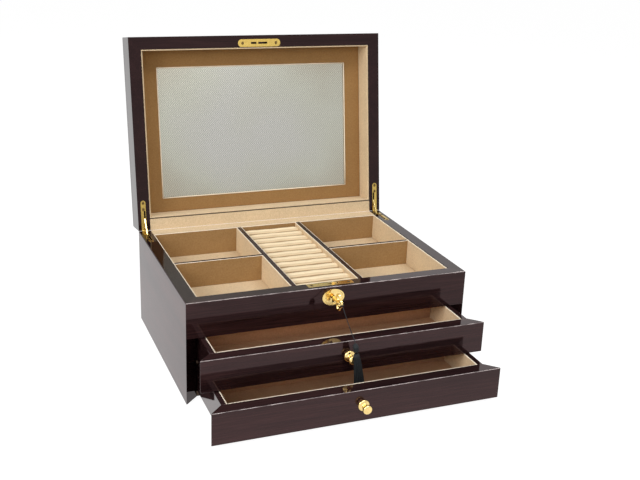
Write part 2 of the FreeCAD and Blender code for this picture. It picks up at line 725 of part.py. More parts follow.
def hinge_leaf(name, side, place, length, low, high, own, other, bore, slot, lid):
    """A slotted leaf with knuckles at the back edge."""
    body = piece(name, place)
    end = f"({HALF_D} - {length} + leaf_width / 2)"
    add(body, "XY_Plane", mirrored(side, rectangle((HINGE_IN, HINGE_OUT), (end, HALF_D))), low, high)
    add(body, "XY_Plane", mirrored(side, ((HINGE_X, end), "leaf_width / 2")), low, high)
    for part in KNUCKLES[own]:
        add(body, "YZ_Plane", ((HALF_D, AXIS_Z), "knuckle_radius"), *span(side, *part))
    for part in CLEARED[other]:
        clear = ((HALF_D, AXIS_Z), "knuckle_radius + knuckle_fit")
        carve(body, "YZ_Plane", clear, *span(side, *part))
    carve(body, "YZ_Plane", ((HALF_D, AXIS_Z), bore), *span(side, HINGE_IN, HINGE_OUT))
    carve(body, "XY_Plane", mirrored(side, rectangle(SLOT, slot)), low, high)
    for x, y in hinge_screws(side, lid):
        face, way = (LID_RIM, 1) if lid else (RIM, -1)
        head_hole(body, x, y, face, way)
        screw_hole(body, x, y, face, way)
    return body


PIVOT_Y = f"({HALF_D} - stay_along)"
PIVOT_Z = f"({AXIS_Z} + stay_up)"
for name, side in (("left", -1), ("right", 1)):
    hinge_leaf(
        f"hinge_leaf_body_{name}",
        side,
        REST,
        BODY_LEAF,
        f"{RIM} - leaf",
        RIM,
        "middle",
        "outer",
        "hinge_pin_radius",
        BODY_SLOT,
        False,
    )
    leaf = hinge_leaf(
        f"hinge_leaf_lid_{name}",
        side,
        LID_OPEN,
        LID_LEAF,
        LID_RIM,
        f"{LID_RIM} + leaf",
        "outer",
        "middle",
        "hinge_pin_radius + turning_fit",
        LID_SLOT,
        True,
    )
    lug = rectangle((SLOT[1], LUG_END), (f"{PIVOT_Y} - 1.6", f"{PIVOT_Y} + 1.6"))
    add(leaf, "XY_Plane", mirrored(side, lug), f"{LID_RIM} + leaf", f"{PIVOT_Z} + 1.6")
    pin = span(side, f"{SLOT[0]} + 0.1", SLOT[1])
    add(leaf, "YZ_Plane", ((PIVOT_Y, PIVOT_Z), "stay_pin_radius"), *pin)

pins = piece("hinge_pins")
body_screws = piece("hinge_screws_body")
lid_screws = piece("hinge_screws_lid", LID_OPEN)
for side in (-1, 1):
    add(pins, "YZ_Plane", ((HALF_D, AXIS_Z), "hinge_pin_radius"), *span(side, HINGE_IN, HINGE_OUT))
    for x, y in hinge_screws(side, False):
        screw(body_screws, x, y, RIM, -1)
    for x, y in hinge_screws(side, True):
        screw(lid_screws, x, y, LID_RIM, 1)

stays = piece(
    "stay_arms",
    f"placement(vector(0; {HALF_D} - {PIVOT_OPEN_BACK}; {AXIS_Z} + {PIVOT_OPEN_RISE});"
    f" rotation(vector(1; 0; 0); {OPEN_TILT}); vector(0; 0; 0))",
)
for side in (-1, 1):
    across = span(side, f"{STAY_X} - stay_thick / 2", f"{STAY_X} + stay_thick / 2")
    bar = rectangle(("-stay_length", "0"), ("-stay_half_width", "stay_half_width"))
    add(stays, "YZ_Plane", bar, *across)
    for end in ("-stay_length", "0"):
        add(stays, "YZ_Plane", ((end, "0"), "stay_half_width"), *across)
    carve(stays, "YZ_Plane", (("0", "0"), "stay_pin_radius + turning_fit"), *across)

# ---------------------------------------------------------------- lock, key and escutcheon

case = piece("lock_case")
across = (f"{LOCK_Y} - lock_plate_width / 2", f"{LOCK_Y} + lock_plate_width / 2")
top_plate = rectangle(("-lock_plate_length / 2", "lock_plate_length / 2"), across)
add(case, "XY_Plane", top_plate, f"{RIM} - lock_plate", RIM)
outer_y = (f"({LOCK_Y} - lock_case_thick / 2)", f"({LOCK_Y} + lock_case_thick / 2)")
inner_y = (f"({outer_y[0]} + lock_wall)", f"({outer_y[1]} - lock_wall)")
half = "(lock_case_width / 2)"
add(case, "XY_Plane", rectangle((f"-{half}", half), outer_y), CASE_BOTTOM, f"{RIM} - lock_plate")
hollow = rectangle((f"lock_wall - {half}", f"{half} - lock_wall"), inner_y)
carve(case, "XY_Plane", hollow, f"{CASE_BOTTOM} + lock_wall", f"{RIM} - lock_plate")
hook_slot = rectangle(("-2 * hook_module", "9.4 * hook_module"), HOOK_SLOT_Y)
carve(case, "XY_Plane", hook_slot, f"{RIM} - lock_plate", RIM)
carve(case, "XZ_Plane", KEYHOLE, outer_y[0], inner_y[0])
carve(case, "XZ_Plane", BIT_SLOT, outer_y[0], inner_y[0])
HOOK_DROP = "(11.4 * hook_module)"
HOOK_PIVOT = ("-hook_pivot_left", f"{RIM} - {HOOK_DROP}")
add(case, "XZ_Plane", (HOOK_PIVOT, "hook_pin_radius"), f"{LOCK_Y} - hook_thick / 2", inner_y[1])
lock_screws = piece("lock_screws")
for side in (-1, 1):
    head_hole(case, f"{side} * plate_screw", LOCK_Y, RIM, -1)
    screw_hole(case, f"{side} * plate_screw", LOCK_Y, RIM, -1)
    screw(lock_screws, f"{side} * plate_screw", LOCK_Y, RIM, -1)

hook = piece(
    "hook_bolt",
    "placement(vector(0; 0; 0); rotation(vector(0; 1; 0); hook_turn);"
    f" vector(-hook_pivot_left; 0; {RIM} - {HOOK_DROP}))",
)
profile = [
    (-6.6, -12.6),
    (-4.4, -14),
    (-1.6, -13.4),
    (5.2, -11.2),
    (5.2, -8.6),
    (2.2, -7),
    (2.2, 3.6),
    (-2.6, 3.6),
    (-4, 2.6),
    (-4, 1.6),
    (-0.8, 1.6),
    (-0.8, -6.8),
    (-6.2, -9.6),
]
HOOK_Y = (f"{LOCK_Y} - hook_thick / 2", f"{LOCK_Y} + hook_thick / 2")
corners = [(f"{u} * hook_module", f"{RIM} + {v} * hook_module") for u, v in profile]
add(hook, "XZ_Plane", corners, *HOOK_Y)
talon = (("4.2 * hook_module", f"{KEY_Z} + 1.6 * hook_module"), "0.6 * hook_module")
add(hook, "XZ_Plane", talon, f"{HOOK_Y[0]} - 1.6 * hook_module", HOOK_Y[0])
carve(hook, "XZ_Plane", (HOOK_PIVOT, "hook_pin_radius + turning_fit"), *HOOK_Y)

key = piece("key")
KEY_END = f"({LOCK_Y} - hook_thick / 2 - hook_gap)"
COLLAR = f"(-{HALF_D} - collar_ahead)"
BOW_START = f"(-{HALF_D} - key_reach)"
add(key, "XZ_Plane", (("0", KEY_Z), "key_shank_radius"), f"{BOW_START} - 1.23 * bow_lobe", KEY_END)
add(key, "XZ_Plane", (("0", KEY_Z), "key_shank_radius + collar_lip"), COLLAR, f"{COLLAR} + collar_length")
bit = rectangle(("-key_bit_thick / 2", "key_bit_thick / 2"), (f"{KEY_Z} - key_bit", KEY_Z))
add(key, "XZ_Plane", bit, f"{KEY_END} - key_bit_width", KEY_END)
lobes = [
    (f"{BOW_START} - bow_lobe", f"{KEY_Z} - bow_rise"),
    (f"{BOW_START} - bow_lobe", f"{KEY_Z} + bow_rise"),
    (f"{BOW_START} - 2 * bow_lobe", KEY_Z),
]
BOW_X = ("-bow_thick / 2", "bow_thick / 2")
for centre in lobes:
    add(key, "YZ_Plane", (centre, "bow_lobe"), *BOW_X)
for centre in lobes:
    carve(key, "YZ_Plane", (centre, "bow_hole"), *BOW_X)
BOW_END = f"({BOW_START} - 3 * bow_lobe)"


def part(kind, name, **formulas):
    """A Part primitive or boolean whose sizes are formulas."""
    obj = doc.addObject(kind, name)
    for prop, formula in formulas.items():
        obj.setExpression(prop.replace("__", "."), cell(formula))
    return obj


def boolean(kind, name, base, tool):
    """Fuses, or cuts the tool out of the base."""
    obj = doc.addObject(kind, name)
    obj.Base = base
    obj.Tool = tool
    return obj


def oval(name, wide, high, front, back_face):
    """An upright oval disc about the keyhole, between two places along Y."""
    ellipse = part("Part::Ellipse", f"{name}_ellipse", MajorRadius=f"{wide} / 2", MinorRadius=f"{high} / 2")
    stand = f"placement(vector(0; {front}; {KEY_Z}); rotation(vector(1; 0; 0); 90); vector(0; 0; 0))"
    ellipse.setExpression("Placement", cell(stand))
    solid = part("Part::Extrusion", name, LengthFwd=f"({back_face}) - ({front})")
    solid.Base = ellipse
    solid.DirMode = "Normal"
    solid.Solid = True
    return solid


FACE = f"(-{HALF_D})"
ESC_FRONT = f"({FACE} - escutcheon)"
disc = oval("escutcheon_disc", "escutcheon_width", "escutcheon_height", ESC_FRONT, FACE)
dish = oval(
    "escutcheon_dish",
    "(escutcheon_width - 2 * escutcheon_rim)",
    "(escutcheon_height - 2 * escutcheon_rim)",
    ESC_FRONT,
    f"{ESC_FRONT} + escutcheon * 0.35",
)
plate = boolean("Part::Cut", "escutcheon_plate", disc, dish)
round_hole = part(
    "Part::Cylinder",
    "escutcheon_hole",
    Radius="key_shank_radius + key_fit",
    Height="escutcheon + 2",
    Placement=f"placement(vector(0; {FACE} + 1; {KEY_Z}); rotation(vector(1; 0; 0); 90); vector(0; 0; 0))",
)
slot_hole = part(
    "Part::Box",
    "escutcheon_slot",
    Length="2.2",
    Width="escutcheon + 2",
    Height="key_bit + key_fit",
    Placement=f"placement(vector(-1.1; {ESC_FRONT} - 1; {KEY_Z} - key_bit - key_fit);"
    " rotation(vector(1; 0; 0); 0); vector(0; 0; 0))",
)
plate = boolean("Part::Cut", "escutcheon_round", plate, round_hole)
plate = boolean("Part::Cut", "escutcheon_keyhole", plate, slot_hole)
esc_pins = piece("escutcheon_pins")
for side in (-1, 1):
    spot = (f"{side} * {PIN_X}", KEY_Z)
    add(esc_pins, "XZ_Plane", (spot, "screw_shank_radius"), f"{ESC_FRONT} + escutcheon * 0.35", f"{FACE} + 3")
    add(
        esc_pins,
        "XZ_Plane",
        (spot, "screw_head_radius"),
        f"{ESC_FRONT} + escutcheon * 0.35 - 0.5",
        f"{ESC_FRONT} + escutcheon * 0.35",
    )
    bore = part(
        "Part::Cylinder",
        f"escutcheon_bore_{'left' if side < 0 else 'right'}",
        Radius="screw_shank_radius",
        Height="escutcheon + 2",
        Placement=f"placement(vector({spot[0]}; {FACE} + 1; {KEY_Z});"
        " rotation(vector(1; 0; 0); 90); vector(0; 0; 0))",
    )
    plate = boolean("Part::Cut", f"escutcheon_pinned_{'left' if side < 0 else 'right'}", plate, bore)
plate.Label = "escutcheon"
pieces.append(plate)

# ---------------------------------------------------------------- drawers, drawn closed, then pulled

BOX_X = f"({INNER_W} - side_gap)"
BOX_IN = f"({BOX_X} - drawer_board)"
BOX_BACK = f"({INNER_D} - back_gap)"
BOX_BACK_IN = f"({BOX_BACK} - drawer_board)"
for which, front_top in (("upper", UPPER_TOP), ("lower", LOWER_TOP)):
    place = PULLED[which]
    bottom = f"({front_top} - {BOX_HEIGHT})"
    floor = f"({bottom} + drawer_floor)"
    middle = f"({front_top} - front_height / 2)"
    front = piece(f"{which}_drawer_front", place)
    plan = [
        (f"mitre_gap - {HALF_W}", f"-{HALF_D}"),
        (f"{HALF_W} - mitre_gap", f"-{HALF_D}"),
        (f"{INNER_W} - mitre_gap", f"-{INNER_D}"),
        (f"mitre_gap - {INNER_W}", f"-{INNER_D}"),
    ]
    add(front, "XY_Plane", plan, f"{front_top} - front_height", front_top)
    face_y = f"-{HALF_D} - {which}_pull"
    soften(front, "edge_round * 0.6", lambda x, y, z: near(y, f"-{HALF_D}"))
    carve(front, "XZ_Plane", (("0", middle), "knob_stud_radius"), f"-{HALF_D}", f"knob_stud - {HALF_D}")

    sides = piece(f"{which}_drawer_sides", place)
    for side in (-1, 1):
        outline = rectangle((BOX_IN, BOX_X), (f"-{INNER_D}", BOX_BACK))
        add(sides, "XY_Plane", mirrored(side, outline), bottom, front_top)
    back_board = piece(f"{which}_drawer_back", place)
    outline = rectangle((f"-{BOX_IN}", BOX_IN), (BOX_BACK_IN, BOX_BACK))
    add(back_board, "XY_Plane", outline, floor, front_top)
    floor_board = piece(f"{which}_drawer_bottom", place)
    outline = rectangle((f"-{BOX_IN}", BOX_IN), (f"-{INNER_D}", BOX_BACK))
    add(floor_board, "XY_Plane", outline, bottom, floor)
    skin = piece(f"{which}_drawer_lining", place)
    outline = rectangle((f"-{BOX_IN}", BOX_IN), (f"-{INNER_D}", BOX_BACK_IN))
    add(skin, "XY_Plane", outline, floor, f"{front_top} - lining_drop")
    outline = rectangle(
        (f"drawer_lining - {BOX_IN}", f"{BOX_IN} - drawer_lining"),
        (f"drawer_lining - {INNER_D}", f"{BOX_BACK_IN} - drawer_lining"),
    )
    carve(skin, "XY_Plane", outline, f"{floor} + drawer_lining", f"{front_top} - lining_drop")
    knob = piece(
        f"{which}_drawer_knob",
        f"placement(vector(0; {face_y}; {middle}); rotation(vector(1; 0; 0); 0); vector(0; 0; 0))",
    )
    profile = [
        ("0", "knob_stud"),
        ("knob_stud_radius", "knob_stud"),
        ("knob_stud_radius", "0"),
        ("knob_flange_radius", "0"),
        ("knob_flange_radius", "-0.5 * knob_flange"),
        ("knob_flange_radius - 1.2", "-knob_flange"),
        ("knob_waist_radius", "-knob_flange - 0.5"),
        ("knob_waist_radius", "1 - knob_cap_back"),
        ("knob_cap_radius - 0.4", "-knob_cap_back"),
        ("knob_cap_radius", "-knob_cap_back - 0.9"),
        ("knob_cap_radius", "1.4 - knob_length"),
        ("knob_cap_radius - 0.8", "0.4 - knob_length"),
        ("knob_cap_radius * 0.3", "-knob_length"),
        ("0", "-knob_length"),
    ]
    turn(knob, "XY_Plane", profile, "V_Axis")

# ---------------------------------------------------------------- cord and tassel

HEAD_X = "tassel_side"
HEAD_Y = f"(-{HALF_D} - upper_pull - knob_length - skirt_thick_half - tassel_gap)"
HEAD_Z = f"({UPPER_TOP} - tassel_drop)"
UP_Y = "sin(tassel_tilt)"
UP_Z = "cos(tassel_tilt)"
SKIRT_TOP = f"({HEAD_Z} - tassel_neck * {UP_Y})"
head = piece(
    "tassel_head",
    f"placement(vector({HEAD_X}; {HEAD_Y}; {HEAD_Z}); rotation(vector(1; 0; 0); -tassel_tilt); vector(0; 0; 0))",
)
profile = [
    ("0", "0"),
    ("tassel_neck", "0"),
    ("tassel_head_radius", "1"),
    ("tassel_head_radius", "tassel_head - 1.6"),
    ("tassel_neck", "tassel_head - 0.3"),
    ("0.7", "tassel_head"),
    ("0", "tassel_head"),
]
turn(head, "XZ_Plane", profile, "V_Axis")

rings = []
for name, half_wide, half_thick, x, y, z in (
    ("skirt_top", "skirt_top_half", "skirt_thick_half * 0.8", HEAD_X, HEAD_Y, SKIRT_TOP),
    (
        "skirt_end",
        "skirt_end_half",
        "skirt_thick_half",
        f"{HEAD_X} + skirt_lean",
        f"{HEAD_Y} - skirt_ahead",
        f"{SKIRT_TOP} - skirt_length",
    ),
):
    spot = f"placement(vector({x}; {y}; {z}); rotation(vector(1; 0; 0); 0); vector(0; 0; 0))"
    rings.append(part("Part::Ellipse", name, MajorRadius=half_wide, MinorRadius=half_thick, Placement=spot))
doc.recompute()
skirt = doc.addObject("Part::Loft", "tassel_skirt")
skirt.Sections = rings
skirt.Solid = True
skirt.Ruled = True
skirt.Label = "tassel_skirt"
pieces.append(skirt)

LOOP_Y = f"({BOW_END} + (bow_lobe - bow_hole) / 2)"
loop = part(
    "Part::Torus",
    "cord_loop",
    Radius1="loop_radius",
    Radius2="cord_radius",
    Placement=f"placement(vector(0; {LOOP_Y}; {KEY_Z});"
    " rotation(vector(1; 0; 0); 0); vector(0; 0; 0))",
)
loop.Label = "cord_loop"
pieces.append(loop)


def cord(name, points, radius, least):
    """A round cord: straight runs between the points, joined by tangent arcs."""
    spots = [FreeCAD.Vector(*(number(c) for c in point)) for point in points]
    edges = []
    bends = []
    here = spots[0]
    for i in range(1, len(spots) - 1):
        before = spots[i - 1] - spots[i]
        after = spots[i + 1] - spots[i]
        shorter = min(before.Length, after.Length)
        half_turn = (math.pi - before.getAngle(after)) / 2
        bend = 0.45 * shorter / math.tan(half_turn)
        bends.append(bend)
        before.normalize()
        after.normalize()
        reach = 0.45 * shorter
        start = spots[i] + before * reach
        end = spots[i] + after * reach
        inward = before + after
        inward.normalize()
        centre = spots[i] + inward * (bend / math.cos(half_turn))
        outward = spots[i] - centre
        outward.normalize()
        edges.append(Part.LineSegment(here, start).toShape())
        edges.append(Part.Arc(start, centre + outward * bend, end).toShape())
        here = end
    edges.append(Part.LineSegment(here, spots[-1]).toShape())
    spine = Part.Wire(edges)
    ring = Part.Wire([Part.makeCircle(radius, spots[0], spots[1] - spots[0])])
    tube = spine.makePipeShell([ring], True, True)
    expected = math.pi * radius**2 * spine.Length
    print(name, "bend radii", [round(bend, 2) for bend in bends], "length", round(spine.Length, 2))
    if abs(tube.Volume - expected) > 0.02 * expected or min(bends) < least * 2 * radius:
        raise RuntimeError(f"{name}: the cord is not a clean tube")
    obj = doc.addObject("Part::Feature", name)
    obj.Shape = tube
    pieces.append(obj)


START_Y = f"({LOOP_Y} - loop_radius - 2 * cord_radius - cord_start_gap)"
START = ("0", START_Y, f"{KEY_Z} - cord_start_drop")
END = (HEAD_X, f"{HEAD_Y} + tassel_head * {UP_Y}", f"{HEAD_Z} + tassel_head * {UP_Z}")
OVER = (HEAD_X, f"{END[1]} + cord_lead * {UP_Y}", f"{END[2]} + cord_lead * {UP_Z}")
route = [START]
for share in (0.1, 0.28, 0.52, 0.74, 0.9):
    spot = [f"({a}) + {share} * (({b}) - ({a}))" for a, b in zip(START, OVER)]
    spot[2] += f" - 4 * {share} * {1 - share} * cord_sag"
    route.append(spot)
route += [OVER, END]
cord("tassel_cord", route, number("cord_radius"), 3)

# ---------------------------------------------------------------- checks and files

SOLIDS = {
    "tray_floor_pads": 5,
    "divider_linings": 6,
    "ring_rolls": 12,
    "strike_screws": 2,
    "hinge_pins": 2,
    "hinge_screws_body": 4,
    "hinge_screws_lid": 4,
    "stay_arms": 2,
    "lock_screws": 2,
    "escutcheon_pins": 2,
    "upper_drawer_sides": 2,
    "lower_drawer_sides": 2,
}

doc.recompute()
for obj in doc.Objects:
    if "Invalid" in obj.State or "Error" in obj.State:
        raise RuntimeError(f"{obj.Label}: {obj.State}")
os.makedirs("parts", exist_ok=True)
for obj in pieces:
    shape = obj.Shape
    count = len(shape.Solids)
    if shape.isNull() or not shape.isValid() or count != SOLIDS.get(obj.Label, 1):
        raise RuntimeError(f"{obj.Label}: {count} solids")
    shape.exportStep(f"parts/{obj.Label}.step")
    print(obj.Label, count, round(shape.Volume))
print(len(pieces), "files")
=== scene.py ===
import json
import math
import random

import bmesh
import bpy
from mathutils import Matrix, Vector
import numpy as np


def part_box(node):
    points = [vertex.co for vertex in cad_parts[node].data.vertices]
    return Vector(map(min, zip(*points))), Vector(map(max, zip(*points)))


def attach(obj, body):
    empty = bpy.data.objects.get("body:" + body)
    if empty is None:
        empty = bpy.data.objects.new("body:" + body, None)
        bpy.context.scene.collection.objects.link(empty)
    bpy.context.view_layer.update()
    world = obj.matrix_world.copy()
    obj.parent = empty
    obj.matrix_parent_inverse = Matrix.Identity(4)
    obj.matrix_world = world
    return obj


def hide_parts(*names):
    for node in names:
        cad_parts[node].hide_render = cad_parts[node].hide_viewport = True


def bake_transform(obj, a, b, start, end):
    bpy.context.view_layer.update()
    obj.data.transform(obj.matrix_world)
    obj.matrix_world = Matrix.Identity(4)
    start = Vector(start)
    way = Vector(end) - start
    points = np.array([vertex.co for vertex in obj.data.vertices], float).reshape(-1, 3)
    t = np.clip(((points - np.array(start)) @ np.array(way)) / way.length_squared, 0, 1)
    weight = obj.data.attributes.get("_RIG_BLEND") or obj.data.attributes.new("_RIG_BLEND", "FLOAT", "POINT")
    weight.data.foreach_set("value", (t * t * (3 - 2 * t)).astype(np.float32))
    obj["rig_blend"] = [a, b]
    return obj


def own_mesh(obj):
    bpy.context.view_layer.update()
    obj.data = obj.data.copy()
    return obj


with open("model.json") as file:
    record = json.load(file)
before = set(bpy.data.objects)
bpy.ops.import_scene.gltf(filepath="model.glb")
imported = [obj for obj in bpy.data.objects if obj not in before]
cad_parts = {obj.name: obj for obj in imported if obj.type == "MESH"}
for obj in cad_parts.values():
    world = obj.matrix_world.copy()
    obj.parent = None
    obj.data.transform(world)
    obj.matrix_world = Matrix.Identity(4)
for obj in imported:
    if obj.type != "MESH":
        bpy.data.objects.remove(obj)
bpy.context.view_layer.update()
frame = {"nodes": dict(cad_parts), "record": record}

MM = 0.001
NODES = frame["nodes"]
BODY_OF = {name: body for body, group in frame["record"]["behaviour"]["bodies"].items() for name in group}
DRAWERS = ("upper", "lower")

# The lid stands open at rest. LID_TURN takes a point of the closed lid to where it is then.
LID_ANGLE = 98.5
HINGE_Y = 107.5 * MM
HINGE_Z = 107.2 * MM
NEAR_HINGE = 0.8 * MM
LID_TURN = (
    Matrix.Translation((0, HINGE_Y, HINGE_Z))
    @ Matrix.Rotation(math.radians(-LID_ANGLE), 4, "X")
    @ Matrix.Translation((0, -HINGE_Y, -HINGE_Z))
)
UPRIGHT = Matrix.Identity(4)

# ---------------------------------------------------------------- material nodes


def shader_of(mat):
    """The material's own shader."""
    return mat.node_tree.nodes["Principled BSDF"]


def new_material(name, color, roughness, metallic=0.0, **sockets):
    """A Principled material with its even values set on the shader itself."""
    mat = bpy.data.materials.new(name)
    mat.use_nodes = True
    inputs = shader_of(mat).inputs
    inputs["Base Color"].default_value = (*color, 1)
    inputs["Roughness"].default_value = roughness
    inputs["Metallic"].default_value = metallic
    for socket, value in sockets.items():
        inputs[socket.replace("_", " ")].default_value = value
    return mat


def coordinates(mat, scale=(1, 1, 1), turn=(0, 0, 0)):
    """Object coordinates, stretched and turned, so a pattern stays on the piece."""
    nodes, links = mat.node_tree.nodes, mat.node_tree.links
    place = nodes.new("ShaderNodeTexCoord")
    mapping = nodes.new("ShaderNodeMapping")
    mapping.inputs["Scale"].default_value = scale
    mapping.inputs["Rotation"].default_value = turn
    links.new(place.outputs["Object"], mapping.inputs["Vector"])
    return mapping.outputs["Vector"]


def along_grain(across, along, axis):
    """A stretch that is coarser along one axis, 0 to 2."""
    stretch = [across] * 3
    stretch[axis] = along
    return stretch


def noise(mat, vector, scale, detail=4.0, roughness=0.55, distortion=0.0):
    """The factor of a noise texture."""
    node = mat.node_tree.nodes.new("ShaderNodeTexNoise")
    node.inputs["Scale"].default_value = scale
    node.inputs["Detail"].default_value = detail
    node.inputs["Roughness"].default_value = roughness
    node.inputs["Distortion"].default_value = distortion
    mat.node_tree.links.new(vector, node.inputs["Vector"])
    return node.outputs["Fac"]


def ramp(mat, factor, stops):
    """Colours along a factor, as (place, colour) pairs."""
    node = mat.node_tree.nodes.new("ShaderNodeValToRGB")
    elements = node.color_ramp.elements
    while len(elements) < len(stops):
        elements.new(0.5)
    for element, (place, color) in zip(elements, stops):
        element.position = place
        element.color = (*color, 1)
    mat.node_tree.links.new(factor, node.inputs["Fac"])
    return node.outputs["Color"]


def multiplied(mat, a, b):
    """Two colour sockets multiplied."""
    node = mat.node_tree.nodes.new("ShaderNodeMix")
    node.data_type = "RGBA"
    node.blend_type = "MULTIPLY"
    node.inputs["Factor"].default_value = 1.0
    for socket, color in (("A", a), ("B", b)):
        target = next(s for s in node.inputs if s.name == socket and s.type == "RGBA")
        mat.node_tree.links.new(color, target)
    return next(s for s in node.outputs if s.type == "RGBA")


def calc(mat, operation, a, b=None):
    """A Math node on sockets or numbers."""
    node = mat.node_tree.nodes.new("ShaderNodeMath")
    node.operation = operation
    for index, value in enumerate((a, b)):
        if value is None:
            continue
        if isinstance(value, (int, float)):
            node.inputs[index].default_value = value
        else:
            mat.node_tree.links.new(value, node.inputs[index])
    return node.outputs[0]


def use_color(mat, color):
    """Links a colour to the shader."""
    mat.node_tree.links.new(color, shader_of(mat).inputs["Base Color"])


def use_roughness(mat, factor, low, high):
    """Links a factor, spread between two values, to the shader's roughness."""
    node = mat.node_tree.nodes.new("ShaderNodeMapRange")
    node.inputs["To Min"].default_value = low
    node.inputs["To Max"].default_value = high
    mat.node_tree.links.new(factor, node.inputs["Value"])
    mat.node_tree.links.new(node.outputs["Result"], shader_of(mat).inputs["Roughness"])


def use_bump(mat, height, distance, strength, under=None):
    """Links a height to the shader's normal, over another bump if one is given."""
    node = mat.node_tree.nodes.new("ShaderNodeBump")
    if under is not None:
        mat.node_tree.links.new(under.outputs["Normal"], node.inputs["Normal"])
    node.inputs["Distance"].default_value = distance
    node.inputs["Strength"].default_value = strength
    mat.node_tree.links.new(height, node.inputs["Height"])
    mat.node_tree.links.new(node.outputs["Normal"], shader_of(mat).inputs["Normal"])
    return node


# ---------------------------------------------------------------- materials

PLUM_BANDS = (
    (0.3, (0.0115, 0.0052, 0.0056)),
    (0.48, (0.0175, 0.0076, 0.0078)),
    (0.6, (0.0265, 0.0114, 0.0112)),
    (0.74, (0.0145, 0.0064, 0.0067)),
)
PORE_STREAKS = [(0.35, (0.62, 0.6, 0.62)), (0.65, (1.4, 1.35, 1.35))]
# How deep the bumps of the finishes are.
PORE_BUMP = 0.022 * MM
WAVE_BUMP = 0.12 * MM
NAP_BUMP = 0.25 * MM
BRASS_BUMP = 0.05 * MM
THREAD_BUMP = 0.2 * MM
FUZZ_BUMP = 0.3 * MM


def lacquer(name, along, gloss=1.46, depth=1.0, haze=0.035):
    """Dark plum veneer under a thick clear gloss; along is the grain's axis, 0 to 2."""
    tint = (1.0, 0.66, 0.67, 1)
    mat = new_material(name, (0.018, 0.008, 0.0084), haze, IOR=gloss, Specular_Tint=tint)
    vector = coordinates(mat, along_grain(55.0, 3.0, along))
    bands = noise(mat, vector, 1.0, detail=6.0, roughness=0.62, distortion=0.6)
    base = ramp(mat, bands, [(place, tuple(c * depth for c in color)) for place, color in PLUM_BANDS])
    pores = noise(mat, coordinates(mat, along_grain(900.0, 26.0, along)), 1.0, detail=3.0)
    use_color(mat, multiplied(mat, base, ramp(mat, pores, PORE_STREAKS)))
    grain = use_bump(mat, pores, PORE_BUMP, 0.5)
    waves = noise(mat, coordinates(mat), 34.0, detail=2.0)
    use_bump(mat, waves, WAVE_BUMP, 0.25, under=grain)
    return mat


def suede(name, color, grain_scale=620.0, contrast=1.0):
    """Short-napped suede: a fine fibrous grain, faint mottling and a little sheen."""
    mat = new_material(
        name,
        color,
        0.95,
        Sheen_Weight=0.12,
        Sheen_Roughness=0.5,
        Sheen_Tint=(1.0, 0.88, 0.7, 1),
        Specular_IOR_Level=0.1,
    )
    vector = coordinates(mat)
    patches = noise(mat, vector, 38.0, detail=3.0)
    nap = noise(mat, vector, grain_scale, detail=5.0, roughness=0.8)
    low = tuple(c * 0.955 for c in color)
    high = tuple(min(1.0, c * 1.03) for c in color)
    soft = ramp(mat, patches, [(0.3, low), (0.7, high)])
    pale = 1 + 0.12 * contrast
    dark = tuple(1 - c * contrast for c in (0.2, 0.24, 0.29))
    grain = ramp(mat, nap, [(0.3, dark), (0.7, (pale, pale, pale))])
    use_color(mat, multiplied(mat, soft, grain))
    use_bump(mat, nap, NAP_BUMP, 0.6)
    return mat


def fine_suede(name, color):
    """Suede with a finer and fainter grain, for the rolls and the turned edges."""
    return suede(name, color, grain_scale=1500.0, contrast=0.5)


def brass(name, roughness, color):
    """Polished gilt brass with faint handling marks."""
    mat = new_material(name, color, roughness, 1.0)
    vector = coordinates(mat)
    cloud = noise(mat, vector, 260.0)
    use_color(mat, ramp(mat, cloud, [(0.35, tuple(c * 0.88 for c in color)), (0.65, color)]))
    marks = noise(mat, vector, 900.0, detail=3.0)
    use_roughness(mat, marks, roughness * 0.7, roughness * 1.6)
    use_bump(mat, noise(mat, vector, 420.0, detail=2.0), BRASS_BUMP, 0.3)
    return mat


TWILL_ROW = 6.2 * MM
TWILL_SLANT = 1.35
TWILL_PITCH = 2.6 * MM
TWILL_TONES = [
    (0.25, (0.33, 0.325, 0.285)),
    (0.5, (0.45, 0.445, 0.4)),
    (0.75, (0.6, 0.59, 0.545)),
]
# From the middle of the glass outwards: painted shade, darker and warmer towards the edges.
MIRROR_EDGE_SHADE = [(0.0, (1.0, 1.0, 1.03)), (0.5, (0.97, 0.98, 0.93)), (1.0, (0.86, 0.82, 0.74))]
MIRROR_HALF_WIDE = 150 * MM
MIRROR_HALF_HIGH = 110 * MM
MIRROR_MIDDLE_Y = -228 * MM


